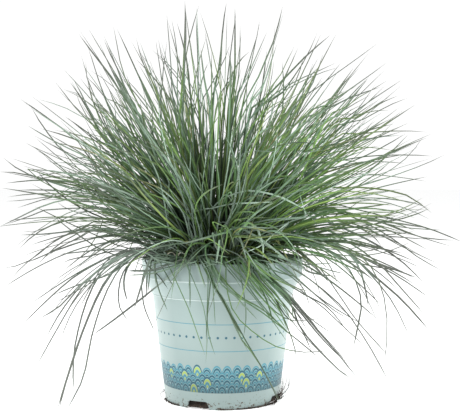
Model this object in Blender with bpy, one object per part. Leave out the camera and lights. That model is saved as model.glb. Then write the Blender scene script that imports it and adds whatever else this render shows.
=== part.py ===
"""Blue fescue clump in a plastic grower's pot.

Metres, +Z up. The origin is on the pot's axis, in the plane that the pot stands on.
The front is the -Y side. Every tuft of grass is one solid: a bundle of leaf bases that
stands on the soil and fans out into leaves with a three-sided section.
"""

import math

import bmesh
import bpy
import numpy as np
from mathutils import Matrix, Vector

MM = 0.001
CM = 0.01
GAP = 0.3 * MM

# Pot
POT_SIDES = 40
POT_HEIGHT = 150 * MM
RIM_RADIUS = 85 * MM
BAND_FOOT_Z = 132 * MM
BAND_FOOT_RADIUS = 84.2 * MM
SHOULDER_FOOT_Z = 113 * MM
SHOULDER_FOOT_RADIUS = 74.6 * MM
WALL_TOP_RADIUS = 73.9 * MM
BASE_RADIUS = 60.3 * MM
SKIN = 1.2 * MM
LEDGE = 0.7 * MM
FOOT_HEIGHT = 10.5 * MM
FLOOR_THICKNESS = 1.6 * MM
NOTCH_AZIMUTHS = (-24, 66, 156, 246)
NOTCH_HEIGHT = 9 * MM
NOTCH_TOP_WIDTH = 19.5 * MM
NOTCH_FOOT_WIDTH = 26 * MM
DRAIN_HOLE_RADIUS = 4 * MM
DRAIN_RING_RADIUS = 44 * MM
DRAIN_HOLES = 8

# Soil
SOIL_TOP = 146 * MM
SOIL_EDGE_Z = 143.5 * MM
PLATEAU_RADIUS = 56 * MM

# Roots
MAT_RADIUS = 56 * MM
MAT_BOTTOM = 2 * MM
MAT_TOP = 9.8 * MM
MAT_SIDES = 20
STRAND_ROOT_RADIUS = 56.5 * MM
STRAND_TOP_RADIUS = 61 * MM
STRAND_BUNDLE_RADIUS = 2.6 * MM
STRAND_HEIGHT = 4.2 * MM
# Each bundle of strands: its notch, and each strand's end as degrees round from the front,
# millimetres from the pot's axis and millimetres above the floor
ROOT_STRANDS = (
    ("roots_front", -24, ((-39, 63, 1.5), (-10, 63.5, 1.3), (-25, 67, 1.6))),
    ("roots_left", 246, ((288, 66, 4), (252, 70, 1.6), (226, 66, 3))),
    ("roots_right", 66, (
        (32, 63.5, 1.4), (48, 66, 1.3), (60, 70, 9), (72, 71, 37), (84, 71.5, 24), (80, 68, 6),
    )),
)

# Crown
CROWN_CENTRE = Vector((-5 * MM, 0, SOIL_TOP + GAP))
CROWN_RADIUS = 45 * MM
RULE_TUFTS = 48
LEAVES_PER_TUFT = 5
GOLDEN_TURN = math.radians(137.508)
BUNDLE_RADIUS = 3.3 * MM
BUNDLE_HEIGHT = 12 * MM
HANGING_CROWN_RADIUS = 52 * MM
HANGING_BUNDLE_RADIUS = 2.4 * MM
HANGING_LEAN = math.radians(62)

# Leaves
LEAF_REACH = 23.5 * CM
WIDEST_X = (-23.8 * CM, 24.2 * CM)
WIDEST_Y = (-22.8 * CM, 22.8 * CM)
LOWEST_TIP = 2 * CM
HIGHEST_LEAD = 87
LOWEST_LEAD = -24
LOWEST_FRONT_LEAD = 13
LEAD_FALL = 0.62
FAN_ANGLE = 5
SHORTEST_LEAF = 0.88
RING_STATIONS = (0.2, 0.42, 0.64, 0.84)
RING_SCALES = (0.58, 0.52, 0.44, 0.32)
SEGMENT_RADII = np.array((2.0, 1.25, 1.1, 0.95, 0.7)) * MM
POT_CLEARANCE = 2.6 * MM
LEAF_CLEARANCE = 0.5 * MM
LEAST_CLEARANCE = 0.2 * MM
TRIES = 60
HAND_SHIFT = 6 * MM
RULE_SHIFT = 14 * MM
SEED = 7
# What counts against a leaf when a tip is given by hand: its depth and its tuft's lead
DEPTH_WEIGHT = 0.3
LEAD_WEIGHT = 1.5

# Tips of the leaves that stand out in the outline, as x, y and z in centimetres
UPPER_LEFT_TIPS = (
    (-4, -1, 41.5), (-2.5, -4, 40.5), (0.5, 3, 41), (-6, 5, 40.5), (-7, 6, 38), (-8.5, -4, 37.5),
    (-11, -2, 39), (-14.5, 4, 38.5), (-12, -6, 37.5), (-15.5, 7, 36), (-16, -3, 34.5),
    (-18, 3, 33), (-18.5, -4, 31.5), (-21, 0, 31.5), (-19, -8, 30.5), (-20.5, 8, 28),
    (-20.5, -2, 27), (-22.5, -3, 25.5), (-23.8, 2, 24), (-22, -4, 22.5), (-21.5, 5, 22),
)
UPPER_RIGHT_TIPS = (
    (1.5, 2, 40.5), (2, -6, 38.5), (4, 4, 40), (6.5, -1, 41), (5.5, -9, 36.5), (8, 7, 37),
    (10, -2, 38), (11.5, 3, 38), (13, 6, 35.5), (16, -1, 37), (17.5, 2, 35), (18.5, -3, 33),
    (18, 5, 32.5), (20, 3, 31), (21.5, 0, 28), (20.5, 8, 27.5), (23, -2, 25.5), (22.5, 5, 23.5),
    (22, 3, 20),
)
LOWER_LEFT_TIPS = (
    (-23, -2, 18.5), (-20.5, 6, 19.5), (-22.5, -4, 14.5), (-22, 5, 16.5), (-19.5, -8, 9.5),
    (-18, -9, 5.5), (-15.5, -13, 2.5), (-14, -12, 4), (-17.5, 2, 12.5), (-15.5, -9, 16),
    (-12, -15, 9.5), (-9.5, -9, 10),
)
LOWER_RIGHT_TIPS = (
    (24.2, -1, 16.5), (23.5, 4, 17.5), (22.5, -2, 13.5), (23, 5, 13.5), (20, -6, 13),
    (20.5, -5, 9.5), (18.5, -9, 8), (14.5, -6, 10.5), (13, -8, 7), (16, -14, 5), (16, -11, 7),
    (12.5, -14, 5.5), (9, -14, 7.5), (5.5, -14, 2.8), (11, -10, 14),
)
# Short leaves that hang down over the front of the rim: for each tuft of them, the turn of its
# foot from the front in degrees and its tips as above
HANGING_TUFTS = (
    (-42, ((-7.6, -8.5, 12), (-7, -9.4, 9.8), (-5.5, -9.5, 10.9))),
    (-14, ((-3.2, -9.8, 10.7), (-1.8, -10.2, 6.6), (-0.7, -10.4, 7.4))),
    (12, ((-0.2, -10.8, 9.5), (2, -10.4, 8.2), (2.4, -11, 9.6), (4.1, -11.8, 7.4))),
)

# Dry curls: where each dead leaf leaves the soil, and the turn of its ring about Z in degrees
CURL_RADIUS = 4.8 * MM
CURL_THICKNESS = 0.45 * MM
CURL_STALK = 6 * MM
CURL_TURN = 310
CURL_STEPS = 10
CURL_PLACES = (
    ("dry_curl_1", Vector((-51 * MM, -52 * MM, 0)), 20),
    ("dry_curl_2", Vector((-41 * MM, -56 * MM, 0)), -15),
)

# Colours, with the roughness of each finish
AQUA_PLASTIC = ((0.55, 0.76, 0.74, 1), 0.38)
POTTING_MIX = ((0.045, 0.028, 0.018, 1), 0.95)
ROOT_BROWN = ((0.05, 0.035, 0.022, 1), 0.9)
LEAF_BLUE_GREEN = ((0.10, 0.19, 0.13, 1), 0.55)
DRY_STRAW = ((0.55, 0.52, 0.38, 1), 0.75)


def clear_scene():
    """Remove whatever the open file holds."""
    for item in list(bpy.data.objects):
        bpy.data.objects.remove(item, do_unlink=True)


def finish_material(name, finish):
    """A Principled material with one colour and roughness."""
    colour, roughness = finish
    material = bpy.data.materials.new(name)
    material.use_nodes = True
    shader = material.node_tree.nodes["Principled BSDF"]
    shader.inputs["Base Color"].default_value = colour
    shader.inputs["Roughness"].default_value = roughness
    shader.inputs["Metallic"].default_value = 0
    return material


def make_object(name, bm, material, smooth_angle=None):
    """Turn a bmesh into a named object with a material."""
    mesh = bpy.data.meshes.new(name)
    bm.to_mesh(mesh)
    bm.free()
    mesh.materials.append(material)
    if smooth_angle is not None:
        mesh.shade_smooth()
        mesh.set_sharp_from_angle(angle=math.radians(smooth_angle))
    item = bpy.data.objects.new(name, mesh)
    bpy.context.scene.collection.objects.link(item)
    return item


def direction(azimuth, elevation):
    """Unit vector: azimuth counter-clockwise from +X, elevation above the floor, in radians."""
    level = math.cos(elevation)
    return Vector((level * math.cos(azimuth), level * math.sin(azimuth), math.sin(elevation)))


# ---------------------------------------------------------------- pot and soil


def wall_radius(z):
    """Outer radius of the pot at a height."""
    if z <= SHOULDER_FOOT_Z:
        return BASE_RADIUS + (WALL_TOP_RADIUS - BASE_RADIUS) * z / SHOULDER_FOOT_Z
    if z <= BAND_FOOT_Z:
        share = (z - SHOULDER_FOOT_Z) / (BAND_FOOT_Z - SHOULDER_FOOT_Z)
        return SHOULDER_FOOT_RADIUS + (BAND_FOOT_RADIUS - SHOULDER_FOOT_RADIUS) * share
    share = (z - BAND_FOOT_Z) / (POT_HEIGHT - BAND_FOOT_Z)
    return BAND_FOOT_RADIUS + (RIM_RADIUS - BAND_FOOT_RADIUS) * share


def turned(profile):
    """A solid of revolution about the Z axis from (radius, height) points."""
    bm = bmesh.new()
    points = [bm.verts.new((radius, 0, height)) for radius, height in profile]
    edges = [bm.edges.new(pair) for pair in zip(points, points[1:])]
    bmesh.ops.spin(
        bm, geom=points + edges, axis=(0, 0, 1), cent=(0, 0, 0),
        angle=math.tau, steps=POT_SIDES, use_merge=True,
    )
    bmesh.ops.remove_doubles(bm, verts=bm.verts, dist=0.01 * MM)
    bmesh.ops.recalc_face_normals(bm, faces=bm.faces)
    return bm


def add_box(bm, width_top, width_foot, height, depth, placement):
    """A trapezoid block that stands on its wide side, centred on its depth."""
    corners = []
    for width, z in ((width_foot, -MM), (width_top, height)):
        for side, y in ((-1, -1), (1, -1), (1, 1), (-1, 1)):
            corner = placement @ Vector((side * width / 2, y * depth / 2, z))
            corners.append(bm.verts.new(corner))
    foot, top = corners[:4], corners[4:]
    bm.faces.new(foot[::-1])
    bm.faces.new(top)
    for k in range(4):
        after = (k + 1) % 4
        bm.faces.new((foot[k], foot[after], top[after], top[k]))


def front_turn(azimuth_from_front):
    """Rotation about Z that carries the front, -Y, round to an azimuth to its right."""
    return Matrix.Rotation(math.radians(azimuth_from_front), 4, "Z")


def pot_cutter():
    """Notches of the foot skirt and drain holes of the floor, as one cutter."""
    bm = bmesh.new()
    for azimuth in NOTCH_AZIMUTHS:
        place = front_turn(azimuth) @ Matrix.Translation((0, -BASE_RADIUS, 0))
        add_box(bm, NOTCH_TOP_WIDTH, NOTCH_FOOT_WIDTH, NOTCH_HEIGHT, 8 * MM, place)
    for hole in range(DRAIN_HOLES):
        turn = front_turn(NOTCH_AZIMUTHS[0] + 360 * hole / DRAIN_HOLES)
        place = turn @ Matrix.Translation((0, -DRAIN_RING_RADIUS, FOOT_HEIGHT))
        bmesh.ops.create_cone(
            bm, cap_ends=True, segments=8, radius1=DRAIN_HOLE_RADIUS,
            radius2=DRAIN_HOLE_RADIUS, depth=6 * MM, matrix=place,
        )
    bmesh.ops.recalc_face_normals(bm, faces=bm.faces)
    mesh = bpy.data.meshes.new("pot_cutter")
    bm.to_mesh(mesh)
    bm.free()
    cutter = bpy.data.objects.new("pot_cutter", mesh)
    bpy.context.scene.collection.objects.link(cutter)
    cutter.hide_render = True
    return cutter


def make_pot(material):
    """The moulded pot: foot, tapering wall, conical shoulder and rim band."""
    floor_z = FOOT_HEIGHT + FLOOR_THICKNESS
    profile = [
        (0, FOOT_HEIGHT),
        (wall_radius(FOOT_HEIGHT) - SKIN, FOOT_HEIGHT),
        (BASE_RADIUS - SKIN, 0),
        (BASE_RADIUS, 0),
        (WALL_TOP_RADIUS, SHOULDER_FOOT_Z - LEDGE),
        (SHOULDER_FOOT_RADIUS, SHOULDER_FOOT_Z),
        (BAND_FOOT_RADIUS - LEDGE, BAND_FOOT_Z - LEDGE),
        (BAND_FOOT_RADIUS, BAND_FOOT_Z),
        (RIM_RADIUS, POT_HEIGHT - MM),
        (RIM_RADIUS - 0.8 * MM, POT_HEIGHT),
        (RIM_RADIUS - 1.6 * MM, POT_HEIGHT),
        (BAND_FOOT_RADIUS - SKIN - LEDGE, BAND_FOOT_Z),
        (SHOULDER_FOOT_RADIUS - SKIN, SHOULDER_FOOT_Z),
        (wall_radius(floor_z) - SKIN, floor_z),
        (0, floor_z),
    ]
    pot = make_object("pot", turned(profile), material, smooth_angle=25)
    cut = pot.modifiers.new("notches and drain holes", "BOOLEAN")
    cut.operation = "DIFFERENCE"
    cut.object = pot_cutter()
    return pot


def make_soil(material):
    """Potting mix that fills the pot, flat under the crown and sloping to the rim."""
    bottom = FOOT_HEIGHT + FLOOR_THICKNESS + GAP
    inset = SKIN + GAP + 0.1 * MM
    edge_share = (SOIL_EDGE_Z - BAND_FOOT_Z) / (POT_HEIGHT - BAND_FOOT_Z)
    inner_foot = BAND_FOOT_RADIUS - SKIN - LEDGE
    inner_rim = RIM_RADIUS - 1.6 * MM
    profile = [
        (0, bottom),
        (wall_radius(bottom) - inset, bottom),
        (SHOULDER_FOOT_RADIUS - inset, SHOULDER_FOOT_Z),
        (inner_foot - GAP - 0.1 * MM, BAND_FOOT_Z),
        (inner_foot + (inner_rim - inner_foot) * edge_share - GAP - 0.1 * MM, SOIL_EDGE_Z),
        (PLATEAU_RADIUS, SOIL_TOP),
        (0, SOIL_TOP),
    ]
    return make_object("soil", turned(profile), material, smooth_angle=50)


# ---------------------------------------------------------------- leaves


def leaf_points(root, tip, arch, sway, stations):
    """Points on a leaf's curve: it leaves its root above the chord and arches to its tip."""
    chord = tip - root
    span = chord.length
    flat = Vector((chord.x, chord.y, 0))
    azimuth = math.atan2(flat.y, flat.x)
    elevation = math.atan2(chord.z, flat.length)
    rise = min(elevation + arch, math.radians(100))
    fall = elevation - 0.55 * arch
    across = Vector((-math.sin(azimuth), math.cos(azimuth), 0))
    first = root + direction(azimuth, rise) * span * 0.33 + across * sway * span * 0.5
    second = tip - direction(azimuth, fall) * span * 0.38 + across * sway * span
    points = []
    for t in stations:
        s = 1 - t
        points.append(
            root * s**3 + first * (3 * s * s * t) + second * (3 * s * t * t) + tip * t**3
        )
    return points


def natural_arch(root, tip):
    """How far a leaf's first direction lies above its chord: little if it stands upright."""
    chord = (tip - root).normalized()
    return math.radians(4 + 31 * (1 - chord.z))


def clears_pot(points):
    """Whether a leaf's polyline passes over the soil and the rim."""
    for start, end in zip(points, points[1:]):
        for k in range(9):
            point = start.lerp(end, k / 8)
            radius = math.hypot(point.x, point.y)
            if radius > RIM_RADIUS + POT_CLEARANCE:
                continue
            over_rim = radius > RIM_RADIUS - 2 * POT_CLEARANCE
            ground = POT_HEIGHT if over_rim else SOIL_TOP
            if point.z < ground + POT_CLEARANCE:
                return False
    return True


def segment_gaps(start, end, starts, ends):
    """Distances from one straight segment to many others."""
    along = end - start
    others = ends - starts
    offset = start - starts
    a = along @ along
    e = np.einsum("ij,ij->i", others, others)
    f = np.einsum("ij,ij->i", others, offset)
    c = offset @ along
    b = others @ along
    spread = a * e - b * b
    s = np.where(spread > 1e-18, (b * f - c * e) / np.where(spread > 1e-18, spread, 1), 0)
    s = np.clip(s, 0, 1)
    t = np.clip((b * s + f) / e, 0, 1)
    s = np.clip((b * t - c) / a, 0, 1)
    nearest = offset + s[:, None] * along - t[:, None] * others
    return np.linalg.norm(nearest, axis=1)


class Neighbours:
    """The straight pieces already placed, each with its radius and its tuft's number."""

    def __init__(self):
        self.starts = np.zeros((0, 3))
        self.ends = np.zeros((0, 3))
        self.radii = np.zeros(0)
        self.owners = np.zeros(0, int)
        self.orders = np.zeros(0, int)

    def add(self, points, radii, owner):
        """Keep a polyline as an obstacle."""
        line = np.array([tuple(point) for point in points])
        self.starts = np.vstack((self.starts, line[:-1]))
        self.ends = np.vstack((self.ends, line[1:]))
        self.radii = np.append(self.radii, radii)
        self.owners = np.append(self.owners, [owner] * (len(line) - 1))
        self.orders = np.append(self.orders, range(len(line) - 1))

    def room(self, points, radii, owner):
        """The smallest clearance of a polyline, with its own tuft's bases left out."""
        line = np.array([tuple(point) for point in points])
        least = 1.0
        for k in range(len(line) - 1):
            own = self.owners == owner
            counts = ~own | ((self.orders > 0) & (k > 0))
            if not counts.any():
                continue
            gaps = segment_gaps(line[k], line[k + 1], self.starts[counts], self.ends[counts])
            least = min(least, float(np.min(gaps - self.radii[counts])) - radii[k])
        return least


class Aim:
    """Where a leaf's tip should come, whether by hand or by rule, and whether it hangs."""

    def __init__(self, tip, by_hand=False, hanging=False):
        self.tip = tip
        self.by_hand = by_hand
        self.hanging = hanging


class Tuft:
    """One shoot: where it stands, which way it leads, and its leaves."""

    stands = True

    def __init__(self, number, azimuth, radius, elevation, lean, bundle):
        self.number = number
        self.azimuth = azimuth
        self.elevation = elevation
        self.bundle = bundle
        self.foot = CROWN_CENTRE + radius * direction(azimuth, 0)
        self.axis = direction(azimuth, lean)
        self.top = self.foot + self.axis * BUNDLE_HEIGHT
        self.side = direction(azimuth - math.radians(90), 0)
        self.other = self.axis.cross(self.side)
        self.aims = []
        self.leaves = []

    @property
    def lead_tip(self):
        """The point that the tuft's leaves gather about."""
        return CROWN_CENTRE + direction(self.azimuth, self.elevation) * LEAF_REACH

    def heading(self, points):
        """A leaf leaves the bundle along its own line."""
        return points[1] - points[0]

    def aim_by_rule(self, rng):
        """Aim leaves in a ring about the tuft's lead."""
        lead = direction(self.azimuth, self.elevation)
        across = Vector((-math.sin(self.azimuth), math.cos(self.azimuth), 0))
        upward = lead.cross(across) * -1
        start = rng.uniform(0, math.tau)
        for k in range(LEAVES_PER_TUFT):
            turn = start + math.tau * k / LEAVES_PER_TUFT + rng.uniform(-0.3, 0.3)
            spread = math.radians(FAN_ANGLE * rng.uniform(0.75, 1.25))
            aim = lead * math.cos(spread)
            aim += (across * math.cos(turn) + upward * math.sin(turn)) * math.sin(spread)
            reach = LEAF_REACH * rng.uniform(SHORTEST_LEAF, 1)
            self.aims.append(Aim(CROWN_CENTRE + aim * reach))


def rule_tuft(number):
    """A tuft of the spiral: those further out lead lower, but not so low at the front."""
    share = (number + 0.5) / RULE_TUFTS
    azimuth = number * GOLDEN_TURN
    towards_front = max(0, -math.sin(azimuth)) ** 3
    lowest = LOWEST_LEAD + (LOWEST_FRONT_LEAD - LOWEST_LEAD) * towards_front
    lead = HIGHEST_LEAD - (HIGHEST_LEAD - LOWEST_LEAD) * share**LEAD_FALL
    elevation = math.radians(max(lead, lowest))
    upright = math.radians(90)
    lean = upright - 0.6 * (upright - max(elevation, 0))
    radius = CROWN_RADIUS * math.sqrt(share)
    return Tuft(number, azimuth, radius, elevation, lean, BUNDLE_RADIUS)


def hanging_tuft(number, turn, places):
    """A small tuft at the crown's front edge whose leaves hang over the rim."""
    azimuth = math.radians(turn - 90)
    tuft = Tuft(number, azimuth, HANGING_CROWN_RADIUS, 0, HANGING_LEAN, HANGING_BUNDLE_RADIUS)
    tuft.aims = [Aim(Vector(place) * CM, by_hand=True, hanging=True) for place in places]
    return tuft


def mismatch(tuft, aim, tip):
    """How badly a leaf suits a tip: by the outline from the front, and by its tuft's lead."""
    there = Vector((tip.x, aim.tip.y, tip.z))
    depth = abs(aim.tip.y - tip.y)
    spread = (there - tuft.lead_tip).length
    return (there - aim.tip).length + DEPTH_WEIGHT * depth + LEAD_WEIGHT * spread


def aim_by_hand(tufts):
    """Move the leaves that suit them best to the tips that are given by hand."""
    for group in (UPPER_LEFT_TIPS, UPPER_RIGHT_TIPS, LOWER_LEFT_TIPS, LOWER_RIGHT_TIPS):
        for place in group:
            tip = Vector(place) * CM
            free = [(tuft, aim) for tuft in tufts for aim in tuft.aims if not aim.by_hand]
            _, best = min(free, key=lambda pair: mismatch(*pair, tip))
            best.tip = Vector((tip.x, best.tip.y, tip.z))
            best.by_hand = True


def hanging_points(root, tip, stations):
    """Points on a short leaf that rises over the rim and hangs down outside it."""
    outward = Vector((tip.x, tip.y, 0)).normalized()
    first = root + Vector((0, 0, 30 * MM)) + outward * 10 * MM
    second = Vector((tip.x, tip.y, POT_HEIGHT + 22 * MM)) + outward * 6 * MM
    points = []
    for t in stations:
        s = 1 - t
        points.append(
            root * s**3 + first * (3 * s * s * t) + second * (3 * s * t * t) + tip * t**3
        )
    return points


def grow_leaf(tuft, aim, root, neighbours, rng):
    """The first of several tries at a leaf that touches neither pot nor neighbours."""
    stations = (0,) + RING_STATIONS + (1,)
    best, best_room = None, -1.0
    for attempt in range(TRIES):
        loose = attempt / TRIES
        tip = aim.tip.copy()
        shift = (HAND_SHIFT if aim.by_hand else RULE_SHIFT) * loose
        tip += Vector([rng.uniform(-shift, shift) for _ in range(3)])
        tip.x = min(max(tip.x, WIDEST_X[0]), WIDEST_X[1])
        tip.y = min(max(tip.y, WIDEST_Y[0]), WIDEST_Y[1])
        tip.z = max(tip.z, LOWEST_TIP)
        if aim.hanging:
            points = hanging_points(root, tip, stations)
        else:
            arch = natural_arch(root, tip) * rng.uniform(0.9, 1.15 + 0.5 * loose)
            sway = rng.uniform(-0.035, 0.035) * (1 + 2 * loose)
            points = leaf_points(root, tip, arch, sway, stations)
            while not clears_pot(points) and arch < math.radians(115):
                arch += math.radians(5)
                points = leaf_points(root, tip, arch, sway, stations)
        if not clears_pot(points):
            continue
        room = neighbours.room(points, SEGMENT_RADII, tuft.number)
        if room > best_room:
            best, best_room = points, room
        if room > LEAF_CLEARANCE:
            break
    return best, best_room


def turn_about(tuft, point):
    """The side of a tuft's axis on which a point lies, as an angle."""
    away = point - tuft.top
    return math.atan2(away.dot(tuft.other), away.dot(tuft.side))


def sector_start(angles):
    """The turn of the first sector that suits leaves sorted by their angles best."""
    step = math.tau / len(angles)
    x = sum(math.cos(angle - step * k) for k, angle in enumerate(angles))
    y = sum(math.sin(angle - step * k) for k, angle in enumerate(angles))
    return math.atan2(y, x)


def leaf_plans(tufts):
    """Every leaf to grow, with its root in its tuft's bundle: those aimed by hand come first."""
    plans = []
    for tuft in tufts:
        aims = sorted(tuft.aims, key=lambda aim: turn_about(tuft, aim.tip))
        start = sector_start([turn_about(tuft, aim.tip) for aim in aims])
        for k, aim in enumerate(aims):
            angle = start + math.tau * k / len(aims)
            aside = tuft.side * math.cos(angle) + tuft.other * math.sin(angle)
            plans.append((tuft, aim, tuft.top + aside * tuft.bundle * 0.6))
    return sorted(plans, key=lambda plan: not plan[1].by_hand)


def grow_clump():
    """Every tuft with its leaves' points, none of which touch."""
    rng = np.random.default_rng(SEED)
    tufts = [rule_tuft(number) for number in range(RULE_TUFTS)]
    for tuft in tufts:
        tuft.aim_by_rule(rng)
    aim_by_hand(tufts)
    for turn, places in HANGING_TUFTS:
        tufts.append(hanging_tuft(len(tufts), turn, places))
    neighbours = Neighbours()
    for tuft in tufts:
        neighbours.add([tuft.foot, tuft.top], [tuft.bundle], tuft.number)
    for _, foot, turn in CURL_PLACES:
        ring = curl_points(foot, turn)
        neighbours.add(ring, [CURL_THICKNESS] * (len(ring) - 1), -1)
    missed = 0
    for tuft, aim, root in leaf_plans(tufts):
        points, room = grow_leaf(tuft, aim, root, neighbours, rng)
        if points is None or room < LEAST_CLEARANCE:
            missed += 1
            continue
        neighbours.add(points, SEGMENT_RADII, tuft.number)
        tuft.leaves.append(points)
    leaves = sum(len(tuft.leaves) for tuft in tufts)
    print(f"{len(tufts)} tufts, {leaves} leaves, {missed} had no room")
    return tufts


def draw_leaf(bm, face, points, heading):
    """Extrude a sector of the bundle's top along a leaf's points to its tip."""
    middle = face.calc_center_median()
    offsets = [vertex.co - middle for vertex in face.verts]
    for k, scale in enumerate(RING_SCALES):
        onward = points[k + 2] - points[k]
        bend = heading.rotation_difference(onward)
        offsets = [bend @ offset for offset in offsets]
        heading = onward
        made = bmesh.ops.extrude_discrete_faces(bm, faces=[face])
        face = made["faces"][0]
        for vertex, offset in zip(face.verts, offsets):
            vertex.co = points[k + 1] + offset * scale
    top = bmesh.ops.poke(bm, faces=[face])
    top["verts"][0].co = points[-1]


def fan_solid(tuft, radius):
    """A bundle of leaf bases whose top is split into sectors, each drawn out as one leaf."""
    leaves = sorted(tuft.leaves, key=lambda points: turn_about(tuft, points[1]))
    start = sector_start([turn_about(tuft, points[1]) for points in leaves])
    sides = max(3, len(leaves))
    step = math.tau / sides
    bm = bmesh.new()
    bmesh.ops.create_cone(
        bm, cap_ends=True, segments=sides, radius1=radius, radius2=radius * 0.94, depth=2
    )
    corner = next(vertex for vertex in bm.verts if vertex.co.z > 0)
    settle = start - step / 2 - math.atan2(corner.co.y, corner.co.x)
    bmesh.ops.rotate(bm, verts=bm.verts, matrix=Matrix.Rotation(settle, 3, "Z"))
    cap = max(bm.faces, key=lambda face: face.calc_center_median().z)
    sectors = bmesh.ops.poke(bm, faces=[cap])["faces"]

    def place(face):
        middle = face.calc_center_median()
        return (math.atan2(middle.y, middle.x) - start + step / 4) % math.tau

    sectors.sort(key=place)
    for vertex in bm.verts:
        x, y, above = vertex.co.x, vertex.co.y, vertex.co.z > 0
        aside = tuft.side * x + tuft.other * y
        if above:
            vertex.co = tuft.top + aside
        elif tuft.stands:
            vertex.co = tuft.foot + Vector((aside.x, aside.y, 0))
        else:
            vertex.co = tuft.foot + aside
    for face, points in zip(sectors, leaves):
        draw_leaf(bm, face, points, tuft.heading(points))
    return bm


# ---------------------------------------------------------------- roots and dry curls


class Strands:
    """Roots that leave a notch together and part outside it."""

    stands = False

    def __init__(self, azimuth, ends):
        out = front_turn(azimuth) @ Vector((0, -1, 0))
        height = Vector((0, 0, STRAND_HEIGHT))
        self.foot = out * STRAND_ROOT_RADIUS + height
        self.top = out * STRAND_TOP_RADIUS + height
        self.side = out.cross(Vector((0, 0, 1)))
        self.other = out.cross(self.side)
        self.leaves = [self.strand(azimuth, end) for end in ends]

    def heading(self, _points):
        """A root turns sideways only once it has left the bundle."""
        return self.top - self.foot

    @staticmethod
    def strand(azimuth, end):
        """Points on a root that follows the pot's foot round to its end."""
        end_azimuth, end_radius, end_z = end
        points = []
        for t in (0,) + RING_STATIONS + (1,):
            outward = min(1, t / 0.4)
            radius = STRAND_TOP_RADIUS + (end_radius * MM - STRAND_TOP_RADIUS) * outward
            turn = front_turn(azimuth + (end_azimuth - azimuth) * t)
            z = STRAND_HEIGHT + (end_z * MM - STRAND_HEIGHT) * t
            points.append(turn @ Vector((0, -radius, z)))
        return points


def make_root_mat(material):
    """The flat felt of roots that fills the hollow of the foot."""
    bm = bmesh.new()
    bmesh.ops.create_cone(
        bm, cap_ends=True, segments=MAT_SIDES, radius1=MAT_RADIUS, radius2=MAT_RADIUS,
        depth=MAT_TOP - MAT_BOTTOM,
        matrix=Matrix.Translation((0, 0, (MAT_TOP + MAT_BOTTOM) / 2)),
    )
    return make_object("root_mat", bm, material, smooth_angle=40)


def soil_height(point):
    """Height of the soil's surface under a point outside its flat top."""
    share = (math.hypot(point.x, point.y) - PLATEAU_RADIUS) / (RIM_RADIUS - PLATEAU_RADIUS)
    return SOIL_TOP + (SOIL_EDGE_Z - SOIL_TOP) * max(0, share)


def curl_points(foot, turn):
    """Points up a short stalk and round the open ring in which a dead leaf ends."""
    ground = Vector((foot.x, foot.y, soil_height(foot) + 2 * GAP))
    place = Matrix.Translation(ground) @ Matrix.Rotation(math.radians(turn), 4, "Z")
    points = [place @ Vector((0, 0, 0))]
    for k in range(CURL_STEPS + 1):
        share = k / CURL_STEPS
        angle = math.radians(CURL_TURN * share - 90)
        radius = CURL_RADIUS * (1 - 0.2 * share)
        around = Vector((radius * math.cos(angle), 3 * MM * share, radius * math.sin(angle)))
        points.append(place @ (around + Vector((0, 0, CURL_STALK + CURL_RADIUS))))
    return points


def make_curl(name, foot, turn, material):
    """A dead leaf rolled into an open ring, swept with a three-sided section."""
    points = curl_points(foot, turn)
    bm = bmesh.new()
    heading = points[1] - points[0]
    across = heading.orthogonal().normalized() * CURL_THICKNESS
    corners = [
        bm.verts.new(points[0] + Matrix.Rotation(math.tau * k / 3, 3, heading) @ across)
        for k in range(3)
    ]
    face = bm.faces.new(corners)
    face = bmesh.ops.extrude_face_region(bm, geom=[face], use_keep_orig=True)["geom"]
    face = next(item for item in face if isinstance(item, bmesh.types.BMFace))
    for k in range(1, len(points)):
        if k > 1:
            face = bmesh.ops.extrude_discrete_faces(bm, faces=[face])["faces"][0]
        onward = points[k] - points[k - 1]
        bend = heading.rotation_difference(onward)
        heading = onward
        across_now = [bend @ (vertex.co - points[k - 1]) for vertex in face.verts]
        for vertex, offset in zip(face.verts, across_now):
            vertex.co = points[k] + offset
    bmesh.ops.recalc_face_normals(bm, faces=bm.faces)
    return make_object(name, bm, material)


def main():
    """Build every piece."""
    clear_scene()
    aqua = finish_material("aqua plastic", AQUA_PLASTIC)
    mix = finish_material("potting mix", POTTING_MIX)
    root = finish_material("root", ROOT_BROWN)
    straw = finish_material("dry leaf", DRY_STRAW)
    leaf = finish_material("leaf", LEAF_BLUE_GREEN)
    make_pot(aqua)
    make_soil(mix)
    make_root_mat(root)
    for name, azimuth, ends in ROOT_STRANDS:
        make_object(name, fan_solid(Strands(azimuth, ends), STRAND_BUNDLE_RADIUS), root)
    for name, foot, turn in CURL_PLACES:
        make_curl(name, foot, turn, straw)
    for tuft in grow_clump():
        name = f"tuft_{tuft.number + 1:02d}"
        make_object(name, fan_solid(tuft, tuft.bundle), leaf)


main()
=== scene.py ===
# %% [markdown]
# # A potted blue fescue, leaf by leaf
#
# Blue fescue is a small ornamental grass. Each shoot is a bundle of leaf bases that fans out
# into stiff, folded leaves not much thicker than a bristle, and a clump holds many hundreds of
# them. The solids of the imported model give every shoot, the pot, the soil and the roots their
# place and reach. This lesson dresses each of them in a mesh with the detail of the real thing.

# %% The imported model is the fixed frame
import math

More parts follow.
